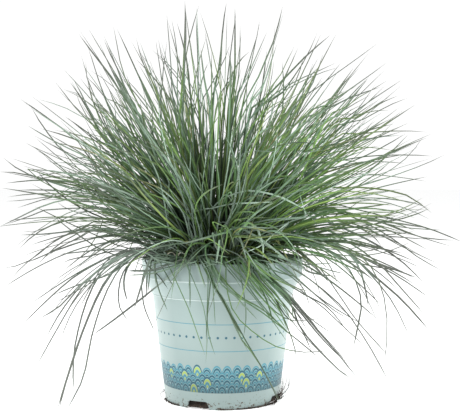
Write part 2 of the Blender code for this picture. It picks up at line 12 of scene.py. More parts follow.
import bpy
import numpy as np
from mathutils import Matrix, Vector


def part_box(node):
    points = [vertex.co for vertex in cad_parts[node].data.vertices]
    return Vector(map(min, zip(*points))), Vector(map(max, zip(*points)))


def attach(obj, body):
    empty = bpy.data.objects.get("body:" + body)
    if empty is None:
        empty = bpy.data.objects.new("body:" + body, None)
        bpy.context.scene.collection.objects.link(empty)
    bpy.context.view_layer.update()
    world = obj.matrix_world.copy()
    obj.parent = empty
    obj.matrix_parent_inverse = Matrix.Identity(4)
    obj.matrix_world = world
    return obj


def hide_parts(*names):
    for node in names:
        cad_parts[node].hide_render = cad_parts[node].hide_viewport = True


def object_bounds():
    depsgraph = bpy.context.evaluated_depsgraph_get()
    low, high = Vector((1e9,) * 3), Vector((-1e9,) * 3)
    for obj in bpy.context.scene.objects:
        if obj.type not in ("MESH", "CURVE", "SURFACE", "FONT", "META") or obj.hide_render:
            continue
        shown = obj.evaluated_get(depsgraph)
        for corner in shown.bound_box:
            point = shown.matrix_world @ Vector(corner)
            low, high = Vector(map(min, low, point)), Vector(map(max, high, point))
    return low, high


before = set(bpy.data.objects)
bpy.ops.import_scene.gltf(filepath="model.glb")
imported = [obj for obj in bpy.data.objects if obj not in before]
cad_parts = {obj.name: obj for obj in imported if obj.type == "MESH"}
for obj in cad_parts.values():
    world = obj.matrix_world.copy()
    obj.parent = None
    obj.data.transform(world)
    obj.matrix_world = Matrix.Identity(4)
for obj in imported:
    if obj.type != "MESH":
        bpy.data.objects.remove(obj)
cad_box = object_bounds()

MM = 0.001
CM = 0.01
FRONT = math.radians(-90)
scene = bpy.context.scene
rng = np.random.default_rng(11)
print("nodes:", len(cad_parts), "box in mm:", [[round(c / MM) for c in v] for v in cad_box])

# %% [markdown]
# ## Camera
#
# The pot was seen from a little above its rim and from just over a metre away. That distance
# can be read off an ellipse: the rim's near and far edges lie closer together the further away
# and the lower the camera stands. A camera is added where that reasoning puts it, and its
# focal length follows from how many pixels a metre takes up.

# %% Camera
PICTURE_WIDTH = 460
FOCAL_PIXELS = 1060
CAMERA_PLACE = (0.008, -1.12, 0.25)
CAMERA_PITCH = math.radians(2.4)

bpy.ops.object.camera_add(location=CAMERA_PLACE)
camera = bpy.context.object
camera.name = "camera"
camera.rotation_euler = (math.radians(90) - CAMERA_PITCH, 0, 0)
camera.data.lens = camera.data.sensor_width * FOCAL_PIXELS / PICTURE_WIDTH
scene.camera = camera
print("lens in mm:", round(camera.data.lens, 1))

# %% [markdown]
# ## Helpers for modelling
#
# An operator acts on everything that is selected, so each piece starts from an empty
# selection. Corners and faces are then picked by their place, as one would by eye.

# %% Helpers for modelling


def deselect_all():
    """Leave object mode with nothing selected."""
    if bpy.context.object and bpy.context.object.mode != "OBJECT":
        bpy.ops.object.mode_set(mode="OBJECT")
    bpy.ops.object.select_all(action="DESELECT")


def pick_alone(item):
    """Select one object and make it the active one."""
    deselect_all()
    item.select_set(True)
    bpy.context.view_layer.objects.active = item


def edit_all():
    """Enter edit mode with everything selected."""
    bpy.ops.object.mode_set(mode="EDIT")
    bpy.ops.mesh.select_all(action="SELECT")


def close_edit():
    """Turn every face outwards and leave edit mode."""
    bpy.ops.mesh.select_all(action="SELECT")
    bpy.ops.mesh.normals_make_consistent(inside=False)
    bpy.ops.object.mode_set(mode="OBJECT")


def select_where(wanted, kind="FACE"):
    """In edit mode, select the faces or corners for which wanted(centre) is true."""
    bpy.ops.mesh.select_mode(type=kind)
    bpy.ops.mesh.select_all(action="DESELECT")
    bpy.ops.object.mode_set(mode="OBJECT")
    mesh = bpy.context.object.data
    for part in mesh.polygons if kind == "FACE" else mesh.vertices:
        part.select = wanted(part.center if kind == "FACE" else part.co)
    bpy.ops.object.mode_set(mode="EDIT")


# %% Helpers that draw a shape out


def extrude_ring(radius_from, radius_to, rise):
    """Draw the selected cap out along Z by a rise while its radius changes."""
    bpy.ops.mesh.extrude_region_move(TRANSFORM_OT_translate={"value": (0, 0, rise)})
    share = radius_to / radius_from
    bpy.ops.transform.resize(value=(share, share, 1))


def turn_solid(name, profile, sides):
    """A closed round solid drawn up ring by ring from (radius, height) pairs in millimetres."""
    deselect_all()
    radius, height = profile[0]
    bpy.ops.mesh.primitive_circle_add(
        vertices=sides, radius=radius * MM, fill_type="NGON", location=(0, 0, height * MM)
    )
    item = bpy.context.object
    item.name = name
    bpy.ops.object.transform_apply(location=True, rotation=True, scale=True)
    edit_all()
    for next_radius, next_height in profile[1:]:
        extrude_ring(radius, next_radius, (next_height - height) * MM)
        radius, height = next_radius, next_height
    close_edit()
    return item


# %% Helpers that cut and finish


def apply_boolean(item, cutter):
    """Cut one object out of another and remove the cutter."""
    pick_alone(item)
    cut = item.modifiers.new("cut", "BOOLEAN")
    cut.operation = "DIFFERENCE"
    cut.solver = "EXACT"
    cut.object = cutter
    bpy.ops.object.modifier_apply(modifier=cut.name)
    bpy.data.objects.remove(cutter, do_unlink=True)


def smooth(item, degrees):
    """Shade a piece smooth where its faces meet flatter than an angle."""
    pick_alone(item)
    bpy.ops.object.shade_smooth_by_angle(angle=math.radians(degrees))


def dress(item, node, material):
    """Give a finished piece its material, and let it stand for a node of the frame."""
    item.data.materials.clear()
    item.data.materials.append(material)
    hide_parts(node)
    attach(item, "root")


# %% [markdown]
# ## Helpers for materials
#
# A material is a small graph of nodes. Writing `steps.plus(a, b)` keeps each one readable: a
# number sets a socket, and another node's output is linked to it. One effect is needed by
# several finishes, so it is a group with named sockets: *mottling*, the slow unevenness that
# any real surface has.

# %% Helpers for materials


class Steps:
    """Adds nodes to one tree and links them."""

    def __init__(self, tree):
        self.tree = tree

    def feed(self, socket, value):
        """Link an output to a socket, or set the socket's own value."""
        if isinstance(value, bpy.types.NodeSocket):
            self.tree.links.new(value, socket)
        elif value is not None:
            socket.default_value = value

    def node(self, kind, values=(), **settings):
        """A node with its settings and the values of its first sockets."""
        node = self.tree.nodes.new("ShaderNode" + kind)
        for name, value in settings.items():
            setattr(node, name, value)
        for socket, value in zip(node.inputs, values):
            self.feed(socket, value)
        return node

    def math(self, operation, *values):
        """One arithmetic step."""
        return self.node("Math", values, operation=operation).outputs[0]

    def plus(self, first, second):
        """The sum of two values."""
        return self.math("ADD", first, second)

    def minus(self, first, second):
        """What is left of one value without another."""
        return self.math("SUBTRACT", first, second)

    def times(self, first, second):
        """The product of two values."""
        return self.math("MULTIPLY", first, second)

    def larger(self, first, second):
        """The larger of two values."""
        return self.math("MAXIMUM", first, second)

    def off(self, value, middle):
        """How far a value is from a middle one, on either side."""
        return self.math("ABSOLUTE", self.minus(value, middle))

    def reach(self, x, y):
        """How far a point of a plane is from the plane's middle."""
        return self.math("SQRT", self.plus(self.times(x, x), self.times(y, y)))

    def remap(self, value, low, high, to_low=0.0, to_high=1.0):
        """A value's range stretched to another one, and held inside it."""
        return self.node("MapRange", (value, low, high, to_low, to_high)).outputs[0]

    def mix(self, share, first, second, blend="MIX"):
        """One colour laid over another."""
        node = self.node("Mix", data_type="RGBA", blend_type=blend)
        for number, value in ((0, share), (6, first), (7, second)):
            self.feed(node.inputs[number], value)
        return node.outputs[2]

    def shaded(self, colour, factor):
        """A colour made darker or lighter by a factor."""
        return self.mix(1, colour, factor, "MULTIPLY")

    def ramp(self, value, stops, interpolation="LINEAR"):
        """Colours at places along a value from 0 to 1."""
        node = self.node("ValToRGB", (value,))
        band = node.color_ramp
        band.interpolation = interpolation
        while len(band.elements) < len(stops):
            band.elements.new(0.5)
        for element, (place, colour) in zip(band.elements, stops):
            element.position = place
            element.color = tuple(colour) + (1,)
        return node.outputs[0]

    def noise(self, vector, scale, detail=3.0, roughness=0.5):
        """Cloudy noise about 0.5."""
        node = self.node("TexNoise")
        for name, value in zip(
            ("Vector", "Scale", "Detail", "Roughness"), (vector, scale, detail, roughness)
        ):
            self.feed(node.inputs[name], value)
        return node.outputs[0]

    def chance(self, socket, value):
        """A value from 0 to 1 by lot, always the same for the same W or Vector."""
        node = self.node("TexWhiteNoise", noise_dimensions="1D" if socket == "W" else "2D")
        self.feed(node.inputs[socket], value)
        return node.outputs["Value"]

    def split(self, vector):
        """The three parts of a vector."""
        return self.node("SeparateXYZ", (vector,)).outputs

    def place(self):
        """Object coordinates: metres in the frame."""
        return self.node("TexCoord").outputs["Object"]

    def distance(self, vector, point):
        """How far a place is from a fixed point."""
        return self.node("VectorMath", (vector, point), operation="DISTANCE").outputs["Value"]

    def bump(self, height, strength, distance):
        """A normal that follows a height."""
        node = self.node("Bump")
        for name, value in (("Strength", strength), ("Distance", distance), ("Height", height)):
            self.feed(node.inputs[name], value)
        return node.outputs[0]

    def use(self, group, **inputs):
        """A shared group placed in this tree with its own values."""
        node = self.node("Group")
        node.node_tree = group
        for name, value in inputs.items():
            self.feed(node.inputs[name], value)
        return node.outputs


# %% Helpers that start a group or a material


def new_group(name, inputs, outputs):
    """An empty node group with named sockets, and the steps that fill it."""
    group = bpy.data.node_groups.new(name, "ShaderNodeTree")
    for label, kind in inputs:
        group.interface.new_socket(label, in_out="INPUT", socket_type="NodeSocket" + kind)
    for label, kind in outputs:
        group.interface.new_socket(label, in_out="OUTPUT", socket_type="NodeSocket" + kind)
    entry = group.nodes.new("NodeGroupInput")
    leave = group.nodes.new("NodeGroupOutput")
    return group, Steps(group), entry.outputs, leave.inputs


def new_finish(name):
    """A material, its steps and its Principled shader's sockets."""
    material = bpy.data.materials.new(name)
    material.use_nodes = True
    tree = material.node_tree
    return material, Steps(tree), tree.nodes["Principled BSDF"].inputs


# %% The shared effect: mottling
mottling, steps, given, result = new_group(
    "mottling",
    [("Place", "Vector"), ("Scale", "Float"), ("Depth", "Float")],
    [("Factor", "Float")],
)
cloud = steps.noise(given["Place"], given["Scale"], 4, 0.6)
swing = steps.times(steps.minus(cloud, 0.5), given["Depth"])
steps.feed(result["Factor"], steps.plus(swing, 1))
print("groups:", [group.name for group in bpy.data.node_groups])

# %% [markdown]
# ## Floor and light
#
# The picture to match is high in key: the plant stands on white under big soft lights. A wide
# pale board and a bright sky do most of that. One large lamp high on the left models the
# leaves, and a weaker one on the right keeps the shaded side of the pot open.

# %% Floor
FLOOR_PROFILE = ((9000, 0), (9000, -20))
FLOOR_GLOW = 0.52

floor = turn_solid("floor", FLOOR_PROFILE, 96)
floor_paint, steps, shader = new_finish("pale_floor")
shader["Base Color"].default_value = (0.9, 0.91, 0.91, 1)
shader["Roughness"].default_value = 0.9
shader["Emission Color"].default_value = (1, 1, 1, 1)
shader["Emission Strength"].default_value = FLOOR_GLOW
floor.data.materials.append(floor_paint)
print("floor across in metres:", round(floor.dimensions.x, 2))

# %% Light
# Each lamp has a name, a place and a power in watts
LAMPS = (("key", (-1.7, -0.9, 1.5), 48), ("fill", (1.7, -0.8, 1.3), 42))
LAMP_SIZE = 0.9
LAMP_AIM = (0, 0, 0.2)
SKY_LIGHT = 0.5
SKY_SEEN = 1.05

scene.view_settings.view_transform = "Standard"
world = bpy.data.worlds.new("studio")
world.use_nodes = True
steps = Steps(world.node_tree)
sky = world.node_tree.nodes["Background"].inputs
sky["Color"].default_value = (1, 1, 1, 1)
seen = steps.node("LightPath").outputs["Is Camera Ray"]
steps.feed(sky["Strength"], steps.remap(seen, 0, 1, SKY_LIGHT, SKY_SEEN))
scene.world = world

for name, place, power in LAMPS:
    bpy.ops.object.light_add(type="AREA", location=place)
    lamp = bpy.context.object
    lamp.name = name
    lamp.data.size = LAMP_SIZE
    lamp.data.energy = power
    towards = Vector(LAMP_AIM) - Vector(place)
    lamp.rotation_euler = towards.to_track_quat("-Z", "Y").to_euler()

# %% [markdown]
# ## Pot
#
# A grower's pot is one thin moulded shell: a foot skirt, a tapering wall, a small ledge, a
# conical shoulder, another ledge and an upright rim band. It could be spun from a profile. Here
# a disc is drawn out ring by ring, down inside the foot, up the outside, over the rim and down
# again to the floor, which gives a closed wall in one go. The notches in the foot and the drain
# holes are then cut away.

# %% Pot: the shell
POT_SIDES = 128
POT_PROFILE = (
    (60.3, 10.5), (59.1, 0.3), (59.3, 0), (60.1, 0), (60.35, 0.25), (66.6, 52),
    (73.72, 111.9), (74.2, 112.1), (74.75, 112.4), (74.95, 112.8), (74.85, 113.3), (74.7, 113.6),
    (83.15, 130.9), (83.6, 131.1), (84.2, 131.3), (84.5, 131.7), (84.5, 132.1), (84.3, 132.6),
    (84.95, 149.2),
    (84.7, 149.8), (84.2, 150), (83.8, 150), (83.4, 149.7), (82.5, 132),
    (73.5, 113), (60.6, 12.1),
)

pot = turn_solid("grower_pot", POT_PROFILE, POT_SIDES)
print("pot faces before cutting:", len(pot.data.polygons))

# %% Pot: notches and drain holes
# A notch is cut by a block that narrows upwards. Half of the block is under the floor
NOTCH_TURNS = (-24, 66, 156, 246)
NOTCH_BLOCK = (32.5, 10, 17)
NOTCH_TOP_WIDTH = 19.5
NOTCH_EDGE = 1.2
FOOT_RADIUS = 60.3 * MM
DRAIN_HOLES = 8
DRAIN_RING = 44 * MM
DRAIN_RADIUS = 4 * MM
FLOOR_HEIGHT = 11 * MM

for turn in NOTCH_TURNS:
    deselect_all()
    bpy.ops.mesh.primitive_cube_add(size=1)
    cutter = bpy.context.object
    edit_all()
    bpy.ops.transform.resize(value=[side * MM for side in NOTCH_BLOCK])
    select_where(lambda centre: centre.z > 8 * MM)
    bpy.ops.transform.resize(value=(NOTCH_TOP_WIDTH / NOTCH_BLOCK[0], 1, 1))
    bpy.ops.mesh.select_all(action="SELECT")
    bpy.ops.mesh.bevel(offset=NOTCH_EDGE * MM, segments=3, affect="EDGES")
    bpy.ops.transform.translate(value=(0, -FOOT_RADIUS, 0))
    bpy.ops.object.mode_set(mode="OBJECT")
    cutter.rotation_euler = (0, 0, math.radians(turn))
    apply_boolean(pot, cutter)

for hole in range(DRAIN_HOLES):
    turn = math.radians(NOTCH_TURNS[0] + 360 * hole / DRAIN_HOLES) + FRONT
    deselect_all()
    bpy.ops.mesh.primitive_cylinder_add(
        vertices=24, radius=DRAIN_RADIUS, depth=6 * MM,
        location=(DRAIN_RING * math.cos(turn), DRAIN_RING * math.sin(turn), FLOOR_HEIGHT),
    )
    apply_boolean(pot, bpy.context.object)

smooth(pot, 32)
print("pot faces:", len(pot.data.polygons), "size in mm:", [round(c / MM) for c in pot.dimensions])

# %% [markdown]
# ## Finish of the pot
#
# The plastic is a pale aqua, satin and slightly uneven where it cooled. Around the foot runs a
# printed border. It is drawn from rows of round waves: each wave is an ellipse about a point on
# the row's foot line, filled with rings in teal, blue and now and then lime. A row is a group
# of its own, placed four times with a half wave of shift, and the lower rows lie over the
# upper ones.

# %% Pot: one row of printed waves
DEEP_TEAL = (0.016, 0.10, 0.145)
MID_BLUE = (0.055, 0.235, 0.30)
PRINT_GAP = (0.23, 0.37, 0.39)
LIME = (0.36, 0.47, 0.1)
LIME_SHARE = 0.14
WAVE_NARROWING = 1.9


def turns_round(steps, x, y):
    """How far round the pot a place is from the front, in whole turns."""
    return steps.math("DIVIDE", steps.math("ARCTAN2", x, steps.times(y, -1)), math.tau)


def ringed(steps, reach, broad, narrow):
    """Rings of a wave: two broad ones, with a blue one between them and a narrow one outside."""
    return steps.ramp(reach, (
        (0, broad), (0.22, PRINT_GAP), (0.3, MID_BLUE), (0.5, PRINT_GAP), (0.57, broad),
        (0.78, PRINT_GAP), (0.84, narrow),
    ), "CONSTANT")


wave_row, steps, given, result = new_group(
    "row of waves",
    [("Place", "Vector"), ("Count", "Float"), ("Shift", "Float"), ("Foot", "Float"),
     ("Rise", "Float")],
    [("Mask", "Float"), ("Colour", "Color")],
)
x, y, z = steps.split(given["Place"])[:3]
along = steps.plus(steps.times(turns_round(steps, x, y), given["Count"]), given["Shift"])
cell = steps.math("FLOOR", along)
aside = steps.minus(steps.minus(along, cell), 0.5)
own_number = steps.node("CombineXYZ", (cell, given["Foot"])).outputs[0]
chance = steps.chance("Vector", own_number)
rise = steps.times(given["Rise"], steps.remap(chance, 0, 1, 0.82, 1.12))
up = steps.math("DIVIDE", steps.minus(z, given["Foot"]), rise)
reach = steps.reach(up, steps.times(aside, WAVE_NARROWING))
inside = steps.times(steps.math("LESS_THAN", reach, 1), steps.math("GREATER_THAN", up, 0))
steps.feed(result["Mask"], inside)
steps.feed(result["Colour"], steps.mix(
    steps.math("GREATER_THAN", chance, 1 - LIME_SHARE),
    ringed(steps, reach, DEEP_TEAL, MID_BLUE), ringed(steps, reach, LIME, DEEP_TEAL),
))
print("steps in a row of waves:", len(wave_row.nodes))

# %% Pot: the plastic and its printed border
AQUA = (0.32, 0.405, 0.395)
AQUA_SHADE = (0.26, 0.335, 0.325)
AQUA_PAINTED_REFLECTION = (0.55, 0.66, 0.64)
WAVE_COUNT = 40
WAVE_ROWS = ((0.0, 35.5, 10.5), (0.5, 29.5, 10.5), (0.0, 23.5, 10.5), (0.5, 17.8, 10.0))

plastic, steps, shader = new_finish("aqua_plastic")
place = steps.place()
x, y, z = steps.split(place)[:3]
uneven = steps.noise(place, 9, 3, 0.55)
colour = steps.mix(uneven, AQUA + (1,), AQUA_SHADE + (1,))
colour = steps.shaded(colour, steps.use(mottling, Place=place, Scale=70, Depth=0.08)[0])
# Painted reflection: towards the pot's edges, where its faces turn away from the camera, the colour
# is mixed towards a pale aqua
facing = steps.node("LayerWeight", (0.5,)).outputs["Facing"]
painted_reflection_share = steps.remap(facing, 0.35, 0.95, 0, 0.75)
colour = steps.mix(painted_reflection_share, colour, AQUA_PAINTED_REFLECTION + (1,))
# Painted shade: the plastic is made darker towards the foot
painted_shade_low_down = steps.remap(z, 8 * MM, 85 * MM, 0.8, 1)
colour = steps.shaded(colour, painted_shade_low_down)
ink_depth = steps.remap(z, 16 * MM, 44 * MM, 0.42, 1)
for shift, foot, rise in WAVE_ROWS:
    row = steps.use(
        wave_row, Place=place, Count=WAVE_COUNT, Shift=shift, Foot=foot * MM, Rise=rise * MM
    )
    colour = steps.mix(row["Mask"], colour, steps.shaded(row["Colour"], ink_depth))

# %% Pot: two thin lines and a string of dots above the border
LINE_HEIGHTS = (88.5, 61)
LINE_WIDTH = 0.7
DOT_HEIGHT = 75
DOT_COUNT = 52
DOT_SPACING = 8.5
DOT_RADIUS = 1.3

for line_height in LINE_HEIGHTS:
    on_line = steps.math("LESS_THAN", steps.off(z, line_height * MM), LINE_WIDTH / 2 * MM)
    colour = steps.mix(on_line, colour, MID_BLUE + (1,))
dot_place = steps.math("FRACT", steps.times(turns_round(steps, x, y), DOT_COUNT))
dot_aside = steps.times(steps.minus(dot_place, 0.5), DOT_SPACING * MM)
dot_reach = steps.reach(dot_aside, steps.minus(z, DOT_HEIGHT * MM))
on_dot = steps.math("LESS_THAN", dot_reach, DOT_RADIUS * MM)
colour = steps.mix(on_dot, colour, DEEP_TEAL + (1,))

# %% Pot: a painted highlight along each of the two ledges
LEDGE_HEIGHTS = (131.8, 112.7)
LEDGE_PAINTED_HIGHLIGHT = (0.7, 0.78, 0.77)

for ledge_height in LEDGE_HEIGHTS:
    # Painted highlight: a pale line along each ledge, where its rounded edge would catch the light
    painted_highlight = steps.remap(steps.off(z, ledge_height * MM), 0.2 * MM, 0.8 * MM, 0.5, 0)
    colour = steps.mix(painted_highlight, colour, LEDGE_PAINTED_HIGHLIGHT + (1,))

# %% Pot: splashed dirt that thins out with height, scuffs and gloss
BROWN_DIRT = (0.07, 0.045, 0.028)
CLEAN_ABOVE = 0.024
DIRT_AMOUNT = 0.24
CLEAN_THRESHOLD = 0.74
INSIDE_RADIUS = 59.6 * MM

lowness = steps.larger(steps.minus(1, steps.math("DIVIDE", z, CLEAN_ABOVE)), 0)
threshold = steps.minus(CLEAN_THRESHOLD, steps.times(lowness, DIRT_AMOUNT))
dirt = steps.remap(steps.noise(place, 330, 6, 0.7), threshold, steps.plus(threshold, 0.05))
inside_pot = steps.math("LESS_THAN", steps.reach(x, y), INSIDE_RADIUS)
soil_stain = steps.times(inside_pot, steps.noise(place, 120, 4))
colour = steps.mix(steps.larger(dirt, soil_stain), colour, BROWN_DIRT + (1,))
steps.feed(shader["Base Color"], colour)
drawn_down = steps.node("VectorMath", (place, (1, 1, 14)), operation="MULTIPLY").outputs[0]
scuffs = steps.noise(drawn_down, 60, 5, 0.7)
rough = steps.remap(scuffs, 0.35, 0.7, 0.3, 0.46)
steps.feed(shader["Roughness"], steps.larger(rough, steps.times(dirt, 0.9)))
grain = steps.plus(steps.noise(place, 1400, 2), steps.times(dirt, 1.5))
steps.feed(shader["Normal"], steps.bump(grain, 0.12, 0.2 * MM))
shader["Specular IOR Level"].default_value = 0.45
dress(pot, "pot", plastic)
print("steps in the pot's finish:", len(plastic.node_tree.nodes))

# %% [markdown]
# ## Soil
#
# Potting mix is a felt of bark crumbs, fibres and dark peat. Little of it shows between the
# leaves, but what does is rough and nearly black. The plug is turned like the pot, its top is
# cut finer and pushed about by chance, and crumbs copied from one lumpy stone are strewn over
# it.

# %% Helpers for corners and places


def corners_of(mesh):
    """A mesh's corners as an array."""
    places = np.zeros(len(mesh.vertices) * 3, np.float32)
    mesh.vertices.foreach_get("co", places)
    return places.reshape(-1, 3).astype(float)


def round_the_axis(reach, turn, height):
    """Places at a reach from the pot's axis, a turn round it and a height."""
    x, y = reach * np.cos(turn), reach * np.sin(turn)
    return np.stack(np.broadcast_arrays(x, y, height), axis=-1)


def turned_round(points, angle):
    """Points turned about the Z axis."""
    x, y, z = np.moveaxis(points, -1, 0)
    cos, sin = np.cos(angle), np.sin(angle)
    return np.stack(np.broadcast_arrays(x * cos - y * sin, x * sin + y * cos, z), axis=-1)


# %% Helpers that copy a master


def taken_as_master(item):
    """A finished shape's corners and faces, from which its copies are made."""
    corners = corners_of(item.data)
    faces = [tuple(face.vertices) for face in item.data.polygons]
    bpy.data.objects.remove(item, do_unlink=True)
    return corners, faces


def joined_copies(name, master_faces, corner_sets):
    """One mesh object from many sets of corners that share a master's faces."""
    count = corner_sets.shape[1]
    faces = [
        tuple(corner + copy * count for corner in face)
        for copy in range(len(corner_sets)) for face in master_faces
    ]
    mesh = bpy.data.meshes.new(name)
    mesh.from_pydata(corner_sets.reshape(-1, 3).tolist(), [], faces)
    item = bpy.data.objects.new(name, mesh)
    scene.collection.objects.link(item)
    return item


def join_into(item, other):
    """Join another object into a first one."""
    pick_alone(item)
    other.select_set(True)
    bpy.ops.object.join()


# %% A crumb, modelled once
deselect_all()
bpy.ops.mesh.primitive_ico_sphere_add(subdivisions=1, radius=1)
edit_all()
bpy.ops.transform.vertex_random(offset=0.25, seed=4)
bpy.ops.object.mode_set(mode="OBJECT")
CRUMB_CORNERS, CRUMB_FACES = taken_as_master(bpy.context.object)
print("crumb corners:", len(CRUMB_CORNERS), "faces:", len(CRUMB_FACES))


def strewn_crumbs(name, places, smallest, largest):
    """Crumbs of several sizes and turns at given places."""
    count = len(places)
    sizes = rng.uniform(smallest, largest, (count, 1, 1)) * rng.uniform(0.5, 1.3, (count, 1, 3))
    turned = turned_round(CRUMB_CORNERS[None], rng.uniform(0, math.tau, (count, 1)))
    return joined_copies(name, CRUMB_FACES, turned * sizes + places[:, None])


# %% Soil: the plug, with a finely cut top
SOIL_TOP = 146 * MM
SOIL_EDGE = 143.5 * MM
PLATEAU_RADIUS = 56 * MM
SOIL_PROFILE = ((60.2, 12.6), (73, 113), (81.8, 132), (82.4, 142.2), (79, 143.6), (56, 145.6))

soil = turn_solid("potting_mix", SOIL_PROFILE, 96)
bpy.ops.object.mode_set(mode="EDIT")
select_where(lambda centre: centre.z > 145.5 * MM)
for ring in range(14):
    bpy.ops.mesh.inset(thickness=3.6 * MM)
select_where(lambda centre: centre.z > 142.5 * MM)
bpy.ops.mesh.subdivide(number_cuts=1)
bpy.ops.transform.vertex_random(offset=0.55 * MM, seed=3)
bpy.ops.object.mode_set(mode="OBJECT")
print("soil faces before the crumbs:", len(soil.data.polygons))

# %% Soil: crumbs on it
RIM_RADIUS = 85 * MM
CRUMB_COUNT = 1500
CRUMB_REACH = 81 * MM


def soil_height(reach):
    """Height of the soil's surface at a reach from the axis."""
    share = (reach - PLATEAU_RADIUS) / (RIM_RADIUS - PLATEAU_RADIUS)
    return SOIL_TOP + (SOIL_EDGE - SOIL_TOP) * np.clip(share, 0, 1)


reach = CRUMB_REACH * np.sqrt(rng.uniform(0, 1, CRUMB_COUNT))
turn = rng.uniform(0, math.tau, CRUMB_COUNT)
crumb_places = round_the_axis(reach, turn, soil_height(reach))
join_into(soil, strewn_crumbs("crumbs", crumb_places, 0.5 * MM, 1.5 * MM))
smooth(soil, 40)
print("soil faces:", len(soil.data.polygons))

# %% Finish of the soil
mix, steps, shader = new_finish("potting_mix")
place = steps.place()
cells = steps.node("TexVoronoi")
steps.feed(cells.inputs["Scale"], 420)
steps.feed(cells.inputs["Vector"], place)
shade = steps.split(cells.outputs["Color"])[0]
colour = steps.ramp(shade, (
    (0, (0.018, 0.011, 0.007)), (0.55, (0.045, 0.026, 0.016)), (0.85, (0.11, 0.066, 0.04)),
    (1, (0.2, 0.15, 0.1)),
))
factor = steps.use(mottling, Place=place, Scale=90, Depth=0.8)[0]
steps.feed(shader["Base Color"], steps.shaded(colour, factor))
shader["Roughness"].default_value = 0.95
height = steps.plus(cells.outputs["Distance"], steps.noise(place, 900, 5, 0.7))
steps.feed(shader["Normal"], steps.bump(height, 0.7, 0.6 * MM))
dress(soil, "soil", mix)

# %% [markdown]
# ## Bending a straight master along many curves
#
# A leaf, a root and a curl are all long thin things. Each is modelled straight and upright
# once, as rings of corners one above the other. To place it, every ring is carried to a point
# of a curve and turned to face along it. Doing that for all leaves of a shoot in one array is
# far quicker than a curve object for each, and gives one plain mesh.

# %% Bending


def unit(vectors):
    """Vectors scaled to length one."""
    return vectors / np.maximum(np.linalg.norm(vectors, axis=-1, keepdims=True), 1e-12)


def sides_along(paths, turn, twist):
    """Directions across and upwards at each point of many paths."""
    along = unit(np.gradient(paths, axis=1))
    chord = paths[:, -1] - paths[:, 0]
    azimuth = np.arctan2(chord[:, 1], chord[:, 0])
    level = np.stack((-np.sin(azimuth), np.cos(azimuth), np.zeros(len(paths))), axis=1)
    upward = unit(np.cross(along, level[:, None]))
    across = np.cross(upward, along)
    angle = turn[:, None] + twist[:, None] * np.linspace(0, 1, paths.shape[1])
    cos, sin = np.cos(angle)[..., None], np.sin(angle)[..., None]
    return across * cos + upward * sin, upward * cos - across * sin


def bent_copies(corners, rings, paths, widths, turn, twist):
    """Corners of a straight master carried along each path."""
    across, upward = sides_along(paths, turn, twist)
    ring = np.rint(corners[:, 2] * (rings - 1)).astype(int)
    aside = across[:, ring] * corners[:, 0][None, :, None]
    above = upward[:, ring] * corners[:, 1][None, :, None]
    return paths[:, ring] + (aside + above) * widths[:, None, None]


def drawn_up(widths, rings):
    """Draw the one face of a disc up into evenly spaced rings of given widths."""
    bpy.ops.mesh.select_mode(type="FACE")
    bpy.ops.mesh.select_all(action="SELECT")
    for before, after in zip(widths, widths[1:]):
        extrude_ring(before, after, 1 / (rings - 1))


BEZIER_POWERS = np.array(((1, -3, 3, -1), (0, 3, -6, 3), (0, 0, 3, -3), (0, 0, 0, 1)), float)


def bezier_paths(controls, count):
    """Points along cubic curves, each given by four controls."""
    share = np.linspace(0, 1, count)
    powers = np.stack((share**0, share, share**2, share**3))
    return np.einsum("nkd,kp->npd", controls, BEZIER_POWERS @ powers)


# %% A straight leaf, modelled once: a folded section that ends in a point
LEAF_RINGS = 15
LEAF_WIDTHS = (0.8, 0.92, 1, 1.03, 1.04, 1.04, 1.03, 1.02, 1, 0.98, 0.95, 0.91, 0.84, 0.7)
FOLD = 0.58
KEEL_FLATTENING = 0.15

deselect_all()
bpy.ops.mesh.primitive_circle_add(vertices=4, radius=1, fill_type="NGON")
bpy.ops.object.mode_set(mode="EDIT")
select_where(lambda corner: corner.y > 0.5, "VERT")
bpy.ops.transform.translate(value=(0, -FOLD, 0))
select_where(lambda corner: corner.y < -0.5, "VERT")
bpy.ops.transform.translate(value=(0, KEEL_FLATTENING, 0))
drawn_up(LEAF_WIDTHS, LEAF_RINGS)
extrude_ring(1, 1, 1 / (LEAF_RINGS - 1))
bpy.ops.mesh.merge(type="CENTER")
close_edit()
LEAF_CORNERS, LEAF_FACES = taken_as_master(bpy.context.object)
print("leaf corners:", len(LEAF_CORNERS), "faces:", len(LEAF_FACES))

# %% A straight root, modelled once
ROOT_RINGS = 9
ROOT_TAPER = 0.88

deselect_all()
bpy.ops.mesh.primitive_circle_add(vertices=5, radius=1, fill_type="NGON")
bpy.ops.object.mode_set(mode="EDIT")
drawn_up([ROOT_TAPER**ring for ring in range(ROOT_RINGS)], ROOT_RINGS)
close_edit()
FIBRE_CORNERS, FIBRE_FACES = taken_as_master(bpy.context.object)
print("root corners:", len(FIBRE_CORNERS), "faces:", len(FIBRE_FACES))

# %% [markdown]
# ## Reading the leaves back from the solids
#
# Every solid shoot has about five plain leaves that mark where the real shoot's leaves go.
# Each of them ends in one sharp corner with three neighbours, so a walk from that corner, ring
# by ring, gives its middle line. The line's bends are known to lie on a cubic curve at set
# stations, so the curve's two inner controls follow by least squares.

# %% Reading the leaves back
SOLID_STATIONS = np.array((0, 0.2, 0.42, 0.64, 0.84, 1))


